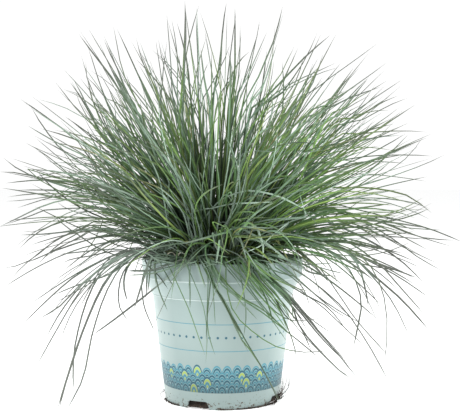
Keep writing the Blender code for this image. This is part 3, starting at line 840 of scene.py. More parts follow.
def middle_lines(node, shortest=5 * MM, slimness=0.4):
    """The middle line of each leaf or strand of a solid, from its root to its tip."""
    loose = corners_of(node.data)
    corners, number = np.unique(loose.round(7), axis=0, return_inverse=True)
    number = number.reshape(-1)
    near = [set() for _ in corners]
    for face in node.data.polygons:
        a, b, c = (number[corner] for corner in face.vertices)
        near[a] |= {b, c}
        near[b] |= {a, c}
        near[c] |= {a, b}
    lines = []
    for tip, around in enumerate(near):
        if len(around) != 3:
            continue
        ring = list(around)
        reach = np.linalg.norm(corners[ring] - corners[tip], axis=1).min()
        width = max(
            np.linalg.norm(corners[ring[0]] - corners[ring[1]]),
            np.linalg.norm(corners[ring[1]] - corners[ring[2]]),
        )
        if reach < shortest or width > slimness * reach:
            continue
        line, seen = [corners[tip]], {tip}
        while len(ring) == 3 and len(line) < len(SOLID_STATIONS):
            line.append(corners[ring].mean(axis=0))
            seen |= set(ring)
            ring = list(set().union(*(near[corner] for corner in ring)) - seen)
        if len(line) == len(SOLID_STATIONS):
            lines.append(np.array(line[::-1]))
    return lines


# %% The curve through a middle line


def curve_through(line):
    """The four controls of the cubic curve on which a middle line lies."""
    t = SOLID_STATIONS[:, None]
    basis = np.hstack(((1 - t) ** 3, 3 * (1 - t) ** 2 * t, 3 * (1 - t) * t**2, t**3))
    known = basis[:, :1] * line[0] + basis[:, 3:] * line[-1]
    inner = np.linalg.lstsq(basis[:, 1:3], line - known, rcond=None)[0]
    return np.vstack((line[:1], inner, line[-1:]))


def leads_of(node, *limits):
    """The controls of all leaves or strands of a solid."""
    return np.array([curve_through(line) for line in middle_lines(node, *limits)])


# %% [markdown]
# ## Roots
#
# A pot-bound grass mats its roots under the pot's floor, and some strands grow on through the
# notches. The mat is a flat felted disc, turned like the pot, with single roots wound over it.
# Each strand of a solid is a lead that thinner strands follow, with the soil that clings to
# them.

# %% Root mat: the felted disc
MAT_PROFILE = ((56.6, 0.9), (57.6, 1.8), (57.6, 9), (56, 9.8))

mat = turn_solid("root_felt", MAT_PROFILE, 64)
bpy.ops.object.mode_set(mode="EDIT")
select_where(lambda centre: centre.z < 1.3 * MM or centre.z > 9.5 * MM)
for ring in range(8):
    bpy.ops.mesh.inset(thickness=5 * MM)
bpy.ops.mesh.select_all(action="SELECT")
bpy.ops.transform.vertex_random(offset=0.5 * MM, seed=6)
bpy.ops.object.mode_set(mode="OBJECT")
print("felt faces:", len(mat.data.polygons))

# %% Root mat: the roots wound over it
FIBRE_COUNT = 260
FIBRE_LIMIT = 58.2 * MM

turn = rng.uniform(0, math.tau, FIBRE_COUNT)
reach = 56.5 * MM * np.sqrt(rng.uniform(0.3, 1, FIBRE_COUNT))
start = round_the_axis(reach, turn, rng.uniform(0.8, 8, FIBRE_COUNT) * MM)
drift = rng.normal(0, 9 * MM, (FIBRE_COUNT, 3, 3)) * (1, 1, 0.12)
controls = np.concatenate((start[:, None], start[:, None] + np.cumsum(drift, axis=1)), axis=1)
level = np.hypot(controls[..., 0], controls[..., 1])
controls[..., :2] *= np.minimum(1, FIBRE_LIMIT / level)[..., None]
controls[..., 2] = np.clip(controls[..., 2], 0.8 * MM, 9 * MM)
join_into(mat, joined_copies("fibres", FIBRE_FACES, bent_copies(
    FIBRE_CORNERS, ROOT_RINGS, bezier_paths(controls, ROOT_RINGS),
    rng.uniform(0.25, 0.6, FIBRE_COUNT) * MM, turn, turn)))

# %% Finish of the roots: dark bark, with painted shade under the pot
root_bark, steps, shader = new_finish("root_bark")
place = steps.place()
fine = steps.noise(place, 260, 5, 0.65)
colour = steps.ramp(fine, (
    (0.3, (0.012, 0.008, 0.006)), (0.5, (0.032, 0.02, 0.013)), (0.62, (0.07, 0.044, 0.028)),
    (0.72, (0.2, 0.145, 0.09)),
))
x, y = steps.split(place)[:2]
# Painted shade: the roots darken inside the foot's radius, where the pot shades them
shade = steps.remap(steps.reach(x, y), 56 * MM, 60.5 * MM, 0.3, 1)
factor = steps.use(mottling, Place=place, Scale=60, Depth=0.7)[0]
steps.feed(shader["Base Color"], steps.shaded(steps.shaded(colour, shade), factor))
shader["Roughness"].default_value = 0.9
steps.feed(shader["Normal"], steps.bump(fine, 0.5, 0.4 * MM))
dress(mat, "root_mat", root_bark)
print("root mat faces:", len(mat.data.polygons))

# %% Strands that have grown out of the notches
STRAND_FIBRES = 8
STRAND_CRUMBS = 44
LEAD_HALF_WIDTH = 0.36 * MM
STRAND_FLOOR = 0.8 * MM
KINK_FLOOR = 0.7 * MM
CRUMB_FLOOR = 1.2 * MM

# Where crumbs lie along the foot: from and to, in degrees round from the front, and how many
FRINGE = {"front": (-6, 30, 100), "left": (-80, -46, 130), "right": (24, 68, 260)}


def fringe_places(first, last, count):
    """Places on the floor close along the outside of the foot."""
    turn = np.radians(rng.uniform(first, last, count))
    reach = FOOT_RADIUS + np.abs(rng.normal(0.5, 1.0, count)) * MM
    return round_the_axis(reach, turn + FRONT, CRUMB_FLOOR)


for side in ("front", "left", "right"):
    leads = leads_of(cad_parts["roots_" + side], 0.5 * MM, 2)
    picked = rng.integers(0, len(leads), STRAND_FIBRES * len(leads))
    stray = rng.normal(0, 1.1 * MM, (len(picked), 4, 3))
    stray[:, 0] *= 0.5
    length = rng.uniform(0.25, 0.85, (len(picked), 1, 1))
    controls = leads[picked, :1] + (leads[picked] - leads[picked, :1]) * length + stray
    controls = np.concatenate((leads, controls))
    controls[..., 2] = np.maximum(controls[..., 2], STRAND_FLOOR)
    widths = rng.uniform(0.13, 0.32, len(controls)) * MM
    widths[: len(leads)] = LEAD_HALF_WIDTH
    spin = rng.uniform(0, math.tau, len(controls))
    paths = bezier_paths(controls, ROOT_RINGS)
    kinks = rng.normal(0, 0.35 * MM, paths.shape)
    kinks[:, 0] = 0
    paths += kinks
    paths[..., 2] = np.maximum(paths[..., 2], KINK_FLOOR)
    strands = joined_copies(
        "strands_" + side, FIBRE_FACES,
        bent_copies(FIBRE_CORNERS, ROOT_RINGS, paths, widths, spin, spin * 0),
    )
    which = rng.integers(0, len(paths), STRAND_CRUMBS)
    spot = paths[which, rng.integers(1, ROOT_RINGS - 1, STRAND_CRUMBS)]
    spot = np.concatenate((spot, fringe_places(*FRINGE[side])))
    join_into(strands, strewn_crumbs("strand_crumbs", spot, 0.3 * MM, 0.8 * MM))
    smooth(strands, 60)
    dress(strands, "roots_" + side, root_bark)
    print(strands.name, "strands:", len(controls))

# %% [markdown]
# ## Filling out each shoot
#
# A real shoot has dozens of leaves, so the five of its solid are only its leads. Each further
# leaf mixes the leads' controls in its own shares, is turned a few degrees, shortened, and
# given its own sway. A leaf that would cut through the pot is lifted until it clears it, as a
# real leaf lies on the rim.

# %% Rules that every leaf keeps
POT_HEIGHT = 150 * MM
RIM_WIDTH = 4 * MM
CHECK_POINTS = 40
FREE_ROOT = 5
LIFT_STEP = 4 * MM
LIFTS = 14
FLOOR_ROOM = 3 * MM
EDGE_ROOM = 4 * MM
SHORTENINGS = 12


def clear_of_pot(paths):
    """Whether each path passes over the soil and the rim and stays above the floor."""
    radius = np.hypot(paths[..., 0], paths[..., 1])
    over_soil = radius < RIM_RADIUS - RIM_WIDTH
    over_rim = (radius < RIM_RADIUS + 1.5 * MM) & ~over_soil
    ground = np.where(over_rim, POT_HEIGHT + 1 * MM, FLOOR_ROOM)
    ground[over_soil] = SOIL_TOP + 1 * MM
    return (paths[..., 2] > ground)[:, FREE_ROOT:].all(axis=1)


def curves_clear(controls):
    """Whether the curve of each set of controls is clear of the pot."""
    return clear_of_pot(bezier_paths(controls, CHECK_POINTS))


def lifted_clear(controls):
    """Controls lifted until their curves clear the pot. Those that never do are left out."""
    for _ in range(LIFTS):
        blocked = ~curves_clear(controls)
        if not blocked.any():
            break
        controls[blocked, 1, 2] += LIFT_STEP
        controls[blocked, 2, 2] += LIFT_STEP * 0.8
    return controls[curves_clear(controls)]


def inside_box(controls):
    """Controls whose curves stay within the solids' box. The others are shortened."""
    low = np.array(cad_box[0]) + (-EDGE_ROOM, -EDGE_ROOM, 2 * MM)
    high = np.array(cad_box[1]) + (EDGE_ROOM, EDGE_ROOM, EDGE_ROOM)
    for _ in range(SHORTENINGS):
        paths = bezier_paths(controls, LEAF_RINGS)
        out = ((paths < low) | (paths > high)).any(axis=(1, 2))
        root = controls[out, :1]
        controls[out] = root + (controls[out] - root) * 0.96
    return controls


# %% Growing leaves between the leads
# Leaves grow in locks that share a spine, and about a third of them stray from theirs
SHORTEST_SHARE = 0.5
LEAD_MIXING = 0.5
LEAVES_PER_LOCK = 5
LOCK_TURN = math.radians(10)
LOCK_SWAY = 0.09
LEAF_TURN = math.radians(3)
LEAF_SWAY = 0.03
LOOSE_SHARE = 0.3
LOOSE_FACTOR = 4.0
NOD_SPREAD = 0.07


def bent_about(controls, turn_spread, sway_spread):
    """Controls turned about their roots and swayed, each by its own chance."""
    count = len(controls)
    root = controls[:, :1].copy()
    body = controls - root
    turn = rng.normal(0, 1, (count, 3)) * turn_spread
    for k, share in ((1, 0.45), (2, 0.8), (3, 1.0)):
        long = np.linalg.norm(body[:, k], axis=1, keepdims=True)
        body[:, k] = unit(body[:, k] + np.cross(turn * share, body[:, k])) * long
    span = np.linalg.norm(body[:, 3], axis=1, keepdims=True)
    bend = rng.normal(0, 1, (count, 3)) * sway_spread * span
    body[:, 2] += bend
    body[:, 1] += bend * 0.3
    return root + body


def grown_between(leads, count):
    """Controls of leaves that fill the space between and around a shoot's leads in locks."""
    locks = max(2, count // LEAVES_PER_LOCK)
    shares = rng.dirichlet(np.full(len(leads), LEAD_MIXING), locks)
    spines = bent_about(np.einsum("cn,nkd->ckd", shares, leads), LOCK_TURN, LOCK_SWAY)
    controls = spines[rng.integers(0, locks, count)]
    spread = np.where(rng.uniform(size=(count, 1)) < LOOSE_SHARE, LOOSE_FACTOR, 1.0)
    controls = bent_about(controls, LEAF_TURN * spread, LEAF_SWAY * spread)
    root = controls[:, :1].copy()
    body = controls - root
    body *= (SHORTEST_SHARE + (1 - SHORTEST_SHARE) * rng.beta(2.0, 0.9, count))[:, None, None]
    level = np.linalg.norm(body[:, 3, :2], axis=1, keepdims=True)
    body[:, 3, 2:] -= np.abs(rng.normal(0, NOD_SPREAD, (count, 1))) * level
    return root + body


# %% [markdown]
# ## Leaves that stand out
#
# A few hundred leaves are seen singly: long tips round the outline, a fan that falls over the
# rim, thin ones that hang down the pot, and pale ones that cross in front of the crown. They
# are drawn as one line of text for each leaf, from its tip to where it goes into the clump, as
# pairs of x and y in the camera's picture. A drawn point only fixes a ray from the camera.
# Each leaf is then given a depth of its own at the root and at the tip, and the ray is cut
# there, so that the clump is as round from the side as it is from the front.

# %% Drawn leaves: the left side
LEFT_LEAVES = """
22 100 40 112 60 127 72 137 100 162
33 110 40 122 50 136 60 148 80 163 100 178
41 100 55 104 70 110 90 122 105 134
57 84 68 98 80 113 95 127 115 148
66 72 78 85 88 96 100 110 116 130
73 84 80 97 88 110 97 125 110 145
66 90 78 94 86 101 100 113 118 135
82 58 87 75 92 98 100 120 112 145
92 58 97 75 103 92 110 108 124 135
67 118 80 127 100 142 120 158
38 151 50 158 62 168 75 180 98 200
28 144 42 152 60 166 80 182
38 140 50 150 62 160 80 172 100 185
6 160 15 167 25 173 60 185 85 192 130 198
2 172 20 173 35 177 55 181 80 187 110 196 140 205
8 183 25 181 45 180 70 182 100 190
10 201 25 200 45 197 62 193 90 191
22 190 40 190 60 191 85 196 110 203
3 225 20 217 38 208 55 202 72 199 95 202 125 212
10 223 30 216 45 210 62 209 85 208 110 211
24 231 32 232 45 228 60 221 75 214 92 211 115 217
38 208 50 214 75 226 100 237 120 246
57 219 68 228 80 236 100 249 125 257
22 235 45 234 65 232 90 230 120 231
4 268 20 265 32 259 45 248 60 238 78 230 110 222
12 278 25 264 40 253 55 241 75 232 105 226
44 245 55 240 72 232 95 226
40 262 50 252 62 242 78 234 100 228
28 262 45 255 62 246 80 238 105 231
47 256 60 248 78 238 100 231
80 257 90 246 98 234 112 218
62 254 80 252 100 250 125 250
65 262 72 259 90 256 115 251 140 252
57 279 70 270 85 261 95 251 110 242 135 238
67 268 78 259 90 251 104 244 125 240
164 194 130 192 100 187 60 179 30 174
34 178 60 183 90 187 120 193
20 207 45 199 70 194 100 193
30 127 52 140 75 152 96 166
50 143 62 150 80 158 98 168
44 170 60 172 85 178 110 187
52 190 75 192 100 196 128 204
"""
HANGING_LEAVES = """
24 323 40 307 55 293 70 280 85 270 112 256 140 250
56 294 80 284 110 274 125 264 142 253
47 336 60 313 80 287 102 267 122 256 145 250
42 317 60 306 80 285 100 270 122 258 142 251
38 363 57 329 80 291 105 264 125 254 145 250
81 305 92 284 105 262 120 252 140 248
74 389 73 370 76 340 87 300 103 270 122 256 145 250
59 409 70 368 85 325 103 285 123 261 145 251
58 407 71 366 84 328 102 288 122 263 146 252
67 409 83 378 92 335 105 295 120 268 132 257 150 251
127 319 121 311 118 298 121 277 130 263 148 252
127 299 124 288 125 274 132 261 148 252
131 270 148 270 165 266 186 259
131 275 148 274 165 270 186 262
94 334 115 319 150 292 170 276 187 262
135 306 140 290 146 272 153 258
"""

# %% Drawn leaves: down the pot and the fan
LEAVES_DOWN_THE_POT = """
146 296 147 280 148 262 156 254
148 290 150 272 152 260
166 307 160 293 156 278 155 262 160 255
166 286 158 275 146 263 150 254
172 284 165 272 160 261 165 255
190 305 190 288 189 270 186 259
206 360 207 345 207 330 203 305 190 272 184 259
206 336 207 320 209 298 211 276 212 262
215 322 214 305 213 285 213 265
204 352 198 335 190 312 183 296 172 272 166 260
214 352 210 340 208 330 207 315 208 285 207 264
244 334 246 318 245 302 241 278 237 262
154 330 146 312 143 300 142 280 150 262
"""
FAN_LEAVES = """
279 402 271 385 262 368 250 350 240 337 228 311 211 281 203 262
280 401 263 369 249 347 237 324 218 291 206 262
278 399 261 366 247 343 234 319 216 288 205 262
242 341 234 324 225 306 212 284 201 262
248 346 236 326 226 303 216 286 206 262
247 349 238 331 228 306 213 282 203 262
240 332 233 320 222 298 213 283 206 262
263 310 252 304 240 299 222 285 209 264
315 355 300 342 286 331 263 313 240 298 224 284 210 264
286 330 275 320 262 309 244 299 230 287 212 264
329 350 312 352 295 351 275 346 256 334 238 318 230 303 226 280 226 262
255 317 240 301 225 284 213 262
236 279 228 270 219 258
286 340 272 320 250 292 236 276 222 260
285 327 275 313 256 292 241 276 226 259
287 329 278 308 264 296 248 276 231 257
295 356 294 345 281 312 270 296 252 275 233 257
293 322 284 314 272 294 255 275 236 257
311 350 300 326 290 312 275 294 258 275 237 257
308 331 290 303 280 292 262 274 238 256
340 357 330 347 318 334 305 318 293 304 264 276 240 256
323 337 312 322 300 309 287 296 268 279 243 257
346 363 338 352 318 330 301 310 288 294 270 276 246 257
348 376 340 371 320 351 300 327 290 302 272 282 246 259
293 320 290 300 275 285 251 262
272 320 270 310 262 290 252 276 239 259
317 356 303 344 290 334 277 322 258 300 244 280 232 259
293 276 275 271 262 264 250 257
346 330 335 315 322 303 307 296 275 276 252 259
309 304 303 288 290 276 275 267 256 257
346 317 335 311 318 297 300 281 285 268 262 256
345 312 330 297 312 281 292 268 266 255
292 294 283 287 268 280 250 266 241 257
322 318 300 321 285 318 268 305 250 282 238 262
292 322 284 306 275 292 260 274 246 258
277 309 270 300 262 288 248 270 240 258
356 376 345 363 335 350 322 336 298 307 270 278 248 258
352 380 340 371 325 357 300 331 278 302 258 280 241 258
331 333 310 318 293 300 275 280 252 260
262 292 252 281 240 268 230 257
270 297 258 284 244 269 233 257
283 306 268 291 252 273 239 257
299 313 284 297 266 279 246 260
304 322 288 302 270 283 248 261
"""

# %% Drawn leaves: the top
TOP_LEAVES = """
185 2 185 25 184 50 183 75 181 100 181 140
185 4 186 30 185 55 184 80 183 110 184 140
198 8 193 25 189 40 186 55 183 72 181 95 184 125
226 6 223 25 222 40 220 60 217 80 212 115
235 11 235 40 235 65 234 85 230 118
240 28 240 50 239 70 237 90 231 115
205 33 208 50 211 68 214 85 219 115
259 23 256 40 251 55 246 72 240 92 230 118
266 34 258 52 251 68 244 85 234 112
282 9 277 30 271 48 262 68 254 88 240 118
276 47 271 62 266 78 260 94 248 118
137 41 142 60 150 80 156 97 170 130
172 22 175 38 177 55 178 75 178 110
167 16 169 40 171 65 172 90 176 120
196 19 197 40 198 60 198 85 199 115
201 51 203 70 206 90 210 115
156 43 159 62 162 82 170 120
159 42 162 58 167 78 178 120
229 47 224 60 218 72 206 95 200 120
172 49 180 65 190 83 200 102 210 122
316 36 310 50 303 63 293 78 283 92 262 120
328 37 315 48 303 59 280 83 262 102 248 122
333 64 318 71 300 79 274 94 250 118 238 150
336 68 320 73 302 81 280 93 258 110 244 140
293 49 285 65 278 80 262 112
297 50 290 66 277 92 262 118
140 77 147 92 160 118 172 140
191 44 193 60 197 78 206 115
322 57 316 75 308 92 290 122
81 37 95 56 110 75 122 95 140 128
114 29 118 50 121 65 128 85 145 122
90 31 100 48 111 66 122 85 140 118
303 58 298 76 290 92 274 120
178 26 182 40 187 62 190 90
222 38 221 62 218 84 210 112
199 224 189 195 176 171 158 147 140 122 126 98 116 76
252 60 246 76 238 94 228 118
105 38 110 50 117 68 125 90 138 120
105 42 112 58 118 70 128 95 142 125
89 50 93 62 98 78 104 95 112 115 122 135
86 65 87 78 92 90 100 108 110 125
88 78 95 85 103 94 108 105 116 120
100 62 108 74 118 88 128 104 140 124
112 70 118 80 126 94 134 108 146 128
127 76 130 85 134 95 141 110 152 130
118 72 122 82 128 98 136 114 148 134
110 92 115 104 122 116 132 132
72 85 80 96 88 110 95 123 102 136
75 82 82 95 90 112 100 126 112 140
140 80 145 92 150 103 158 120 166 135
157 82 158 95 162 112 168 130
322 60 317 72 310 85 302 105 292 128
317 60 309 75 300 92 290 118
339 65 330 76 318 90 305 108 290 130
348 78 338 90 328 104 316 120 300 138
357 70 348 80 340 92 328 108 312 128
365 82 357 92 348 104 335 118 315 136
385 82 372 90 358 98 340 112 322 128
387 98 376 105 362 115 345 125 322 140
390 122 378 130 362 138 340 148 318 160
"""

# %% Drawn leaves: the right side
RIGHT_LEAVES = """
375 45 355 60 338 72 320 86 290 116
385 64 370 75 353 87 320 110 300 123
400 81 385 91 370 101 340 122 310 142
395 97 383 102 355 118 325 133
405 99 390 105 362 120 330 138
397 109 385 118 355 138 320 158
388 120 365 132 330 150 300 164
424 132 410 131 395 131 360 134 325 146
400 132 385 136 350 142 315 156
403 135 390 143 365 156 335 168 305 180
422 138 412 152 400 163 382 175 350 190 310 203
442 156 425 164 395 175 360 186 320 196
424 181 405 178 365 174 325 176 290 186
402 163 390 162 360 162 325 170 290 182
430 156 410 155 370 156 335 162 300 173
429 211 415 200 400 193 370 188 340 188 305 194
425 207 410 202 375 198 330 200 295 207
427 218 410 210 380 201 345 198 310 202
390 205 355 203 320 207 290 214
388 204 350 209 310 211 285 218
361 200 343 212 320 222 298 230
460 241 430 229 390 218 350 208 315 206
452 240 420 237 380 222 345 212 310 212
440 230 400 227 360 217 320 213
450 246 420 237 390 225 350 213 315 211
437 263 405 248 370 230 330 217 300 216
426 249 395 233 360 220 325 215
331 263 315 264 300 264 278 257
408 243 385 252 350 256 320 250 290 245
370 242 345 250 315 246 290 243
378 88 352 97 322 112 296 130
390 150 362 147 330 154 298 168
352 70 336 92 318 115 300 138
366 80 352 94 330 118 308 138
"""
RIGHT_HANGING_LEAVES = """
441 270 418 257 392 238 355 218 315 212
423 282 400 260 370 241 335 225 305 220
428 297 402 279 375 264 345 250 310 237 285 232
415 277 385 266 355 255 320 243 290 236
424 314 400 287 380 265 350 243 315 229
428 329 402 300 372 274 345 250 310 234 285 230
409 336 393 303 372 276 348 253 315 238 290 234
380 304 355 280 325 257 295 243 270 240
368 306 366 292 358 265 340 247 310 236
354 345 360 315 361 298 350 270 325 249 298 240
388 380 368 344 343 308 312 281 278 258 258 248
386 353 358 322 340 296 320 268 300 251 278 243
360 323 330 305 305 286 278 262 262 252
368 349 343 326 318 303 290 285 266 266
342 273 325 269 295 258 272 250
335 276 312 273 292 262 270 254
"""

# %% Drawn leaves: over the rim
LEAVES_OVER_THE_RIM = """
130 275 148 274 165 270 183 263 198 257 212 255
130 271 150 271 165 268 180 264 192 262
146 284 147 272 150 262 156 255
156 284 154 270 155 260 162 254
136 262 146 266 156 264 166 260 176 258 183 259
134 250 146 253 154 258 160 263 164 266
142 245 150 249 157 253 163 257
160 266 170 264 180 264 190 262 200 259 206 252
152 263 160 262 170 263 178 262 188 258 194 254
171 268 180 266 188 263 196 262 204 258
168 246 176 250 184 254 192 260 200 262
187 262 190 257 197 250 203 246 209 245
189 285 190 272 191 264 196 257
204 285 199 270 195 262 192 256
212 286 208 272 202 262 198 256
218 286 214 276 209 266 204 257
221 284 216 272 212 263 209 256
212 264 206 262 200 260 194 257
246 263 240 256 230 251 220 248 212 247
228 267 222 263 214 262 206 259
245 284 236 272 228 264 219 258
240 286 232 274 222 264 213 258
262 266 252 262 242 262 232 259
275 264 266 261 254 260 240 256
205 267 212 264 220 264 230 261 240 257
178 268 186 266 196 265 206 263 216 259
150 255 158 260 168 262 176 264 186 264 196 262
"""
LEFT_RIM_LEAVES = """
134 242 144 245 154 246 166 245 180 241
133 249 144 252 155 253 165 251 176 247
139 257 148 256 157 253 166 249 178 244
143 259 150 256 158 251 168 246 180 240
150 259 154 252 160 246 168 241 180 236
144 236 152 242 160 248 166 254 169 259
149 243 155 247 161 252 165 257
136 254 146 254 156 257 164 260
139 246 149 243 159 241 170 240 182 241
155 238 158 246 163 253 167 259
141 260 150 258 160 258 168 260
146 252 154 249 163 248 172 250
"""

# %% Drawn leaves: across the crown
LONG_PALE_LEAVES = """
241 142 239 170 234 203 228 222 220 247 216 260
160 188 170 196 178 205 184 215 188 230 194 256
300 207 283 198 262 192 245 191 222 199 206 216 199 230
271 202 250 203 230 204 212 208 196 211 188 222
246 258 243 247 239 236 233 228 226 222 216 228
285 258 275 250 262 240 250 233 238 228 222 234
263 254 263 246 260 236 256 227 246 226 232 240
"""
CROSSING_LEAVES = """
300 195 302 203 306 216 298 218 270 222 240 232
300 268 280 262 265 257 252 251 235 237 226 227 214 232
249 251 262 245 274 234 290 222
130 227 150 231 165 236 178 242 192 252
126 98 140 122 158 147 176 171 189 195 198 224 202 250
120 95 136 120 153 145 171 170 186 196 196 224 200 250
138 118 150 140 165 165 181 193 193 222 199 250
152 140 168 162 182 182 193 208 200 232 206 254
225 257 215 255 205 255 190 259 176 264
164 173 169 182 168 198 168 215 172 235
184 160 195 182 205 196 213 208 222 228
263 175 261 188 256 200 246 222 238 244
298 182 284 191 262 205 245 212 232 217 220 232
304 186 280 203 262 214 245 224 232 238
313 216 295 220 280 226 262 229 240 236
281 152 262 151 248 151 241 156 234 170 226 195
334 184 300 185 280 187 258 194 240 208
322 150 300 154 285 164 266 183 250 205
312 217 290 218 262 221 242 230
146 150 158 176 164 200 168 226 176 248
125 184 140 198 148 212 155 223 168 240
143 125 155 146 172 172 184 198 194 226
232 132 229 160 224 190 219 220 214 250
207 150 203 180 201 210 203 244
191 150 190 180 192 210 197 246
216 128 214 160 211 195 209 240
250 160 244 185 234 212 224 245
172 150 178 180 186 210 194 246
"""

# %% Reading the drawn leaves
# A tip ends finer than the picture shows, so the last stretch is drawn out by these pixels
TIP_TOO_FINE = 4


def strokes_of(text):
    """The drawn points of each leaf, from the clump to a tip drawn out a little further."""
    rows = [np.array(line.split(), float).reshape(-1, 2)[::-1] for line in text.split("\n") if line]
    for row in rows:
        last = row[-1] - row[-2]
        row[-1] += last / np.hypot(*last) * TIP_TOO_FINE
    return rows


# %% Feet of the shoots
SHOOTS = sorted(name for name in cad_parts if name.startswith("tuft_"))
FOOT_HEIGHT = SOIL_TOP + 0.3 * MM
FOOT_SLICE = 0.5 * MM


def foot_of(node):
    """Middle of the ring on which a solid shoot stands."""
    corners = corners_of(node.data)
    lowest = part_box(node.name)[0].z
    standing = corners[np.abs(corners[:, 2] - FOOT_HEIGHT) < FOOT_SLICE]
    return standing.mean(axis=0) if len(standing) else corners[corners[:, 2] < lowest + MM].mean(0)


def nearest_shoot(x, y):
    """The shoot whose foot is nearest to a point."""
    return min(SHOOTS, key=lambda name: np.hypot(feet[name][0] - x, feet[name][1] - y))


feet = {name: foot_of(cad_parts[name]) for name in SHOOTS}
drawn = {name: [] for name in SHOOTS}
print("shoots:", len(feet))

# %% From the picture into the clump
PICTURE_MIDDLE = (230, 207)
POT_ROOM = 89 * MM
TIP_ROOM = 3 * MM
OVER_RIM = 153.5 * MM
DEPTH_STEP = 5 * MM
LOWEST_CORNER = np.array(cad_box[0]) - EDGE_ROOM
LOWEST_CORNER[2] = FLOOR_ROOM
HIGHEST_CORNER = np.array(cad_box[1]) + EDGE_ROOM


def seen_at(spot, depth):
    """The point on the ray through a spot of the picture that lies at a depth (Y)."""
    eye = np.array(camera.location)
    right, up = spot[0] - PICTURE_MIDDLE[0], PICTURE_MIDDLE[1] - spot[1]
    cos, sin = math.cos(CAMERA_PITCH), math.sin(CAMERA_PITCH)
    ray = np.array((right, FOCAL_PIXELS * cos + up * sin, up * cos - FOCAL_PIXELS * sin))
    return eye + ray * (depth - eye[1]) / ray[1]


def outside_box(point):
    """Whether a point lies outside the room that the leaves may fill."""
    return ((point < LOWEST_CORNER) | (point > HIGHEST_CORNER)).any()


def placed_stroke(spots, root_depth, tip_depth):
    """A drawn leaf's points in the frame, kept in front of the pot and inside the box."""
    points = []
    for spot, share in zip(spots, np.linspace(0, 1, len(spots))):
        depth = root_depth + (tip_depth - root_depth) * share
        point = seen_at(spot, depth)
        if point[2] < OVER_RIM and math.hypot(point[0], point[1]) < POT_ROOM:
            depth = -math.sqrt(max(POT_ROOM**2 - point[0] ** 2, 0)) - TIP_ROOM * share
            point = seen_at(spot, depth)
        while outside_box(point) and depth > LOWEST_CORNER[1]:
            depth -= DEPTH_STEP
            point = seen_at(spot, depth)
        points.append(point)
    return points


# %% A smooth path through the drawn points
PIECE_POINTS = 12


def sampled(points, places, wanted):
    """Points read off a line at wanted places along it."""
    return np.stack([np.interp(wanted, places, column) for column in points.T], axis=1)


def path_through(points, count):
    """A smooth path of evenly spaced points through a few drawn ones."""
    points = np.array(points, float)
    ends = np.vstack((2 * points[0] - points[1], points, 2 * points[-1] - points[-2]))
    pieces = []
    share = np.linspace(0, 1, PIECE_POINTS)[:, None]
    for k in range(len(points) - 1):
        a, b, c, d = ends[k:k + 4]
        pieces.append(0.5 * (
            2 * b + (c - a) * share + (2 * a - 5 * b + 4 * c - d) * share**2
            + (3 * b - a - 3 * c + d) * share**3))
    fine = np.vstack(pieces)
    travelled = np.append(0, np.cumsum(np.linalg.norm(np.diff(fine, axis=0), axis=1)))
    return sampled(fine, travelled, np.linspace(0, travelled[-1], count))


# %% Over the rim and past its band
RIM_CROSSING = RIM_RADIUS - 2 * MM
WALL_RADIUS = 74 * MM
BAND_FOOT = 105 * MM
BAND_ROOM = 2 * MM


def over_the_rim(points):
    """Points with one more above the rim, where a leaf goes out over it at a low height."""
    for k in range(1, len(points)):
        before, after = points[k - 1], points[k]
        inside, outside = np.hypot(*before[:2]), np.hypot(*after[:2])
        if inside < RIM_CROSSING < outside and after[2] < OVER_RIM:
            crossing = before + (after - before) * (RIM_CROSSING - inside) / (outside - inside)
            crossing[2] = OVER_RIM + rng.uniform(0, 3) * MM
            return points[:k] + [crossing] + points[k:]
    return points


def held_off_the_band(path):
    """A path pushed out to just beside the rim band, where it would run into it."""
    radius = np.hypot(path[:, 0], path[:, 1])
    beside = (radius > WALL_RADIUS) & (radius < RIM_RADIUS + BAND_ROOM)
    beside &= (path[:, 2] > BAND_FOOT) & (path[:, 2] < POT_HEIGHT + BAND_ROOM)
    path[beside, :2] *= ((RIM_RADIUS + BAND_ROOM) / radius[beside])[:, None]
    return path


# %% Drawn leaves given to their shoots
# A drawing, its root and tip depths in centimetres, and the leaves' widths and tones. One
# draw sets both depths of a leaf, so that a leaf rooted at the back also ends further back
LEAF_GROUPS = (
    (LEFT_LEAVES, (-3, 3), (-8, 7), (0.85, 1.1), (0.35, 0.95)),
    (HANGING_LEAVES, (-5, -3), (-9, -6), (1.15, 1.42), (1.04, 1.16)),
    (LEAVES_DOWN_THE_POT, (-5, -3), (-9, -6), (0.7, 0.95), (0.5, 0.8)),
    (FAN_LEAVES, (-5.2, -3.6), (-12.5, -9.5), (0.78, 1.02), (0.42, 0.86)),
    (TOP_LEAVES, (-3, 3), (-6, 6), (1.0, 1.3), (0.35, 0.9)),
    (RIGHT_LEAVES, (-3, 3), (-8, 6), (0.85, 1.1), (0.25, 0.9)),
    (RIGHT_HANGING_LEAVES, (-3, 3), (-8, 6), (1.15, 1.4), (0.6, 1.1)),
    (LEAVES_OVER_THE_RIM, (-6.4, -5.2), (-9.2, -8), (0.65, 0.95), (0.8, 0.97)),
    (CROSSING_LEAVES, (-5.2, -4.4), (-12, -9), (0.82, 1.05), (0.88, 0.98)),
    (LONG_PALE_LEAVES, (-5.2, -4.4), (-13, -11), (1.2, 1.35), (0.94, 1.0)),
    (LEFT_RIM_LEAVES, (-4.5, -2.5), (-5, -2), (0.7, 1.05), (0.72, 1.0)),
)
DEPTH_SPREAD = 1.2
ROOT_PULL = 0.6
ROOT_REACH = (-40 * MM, 35 * MM)
FOOT_RISE = (0, 0, 0.5 * MM)

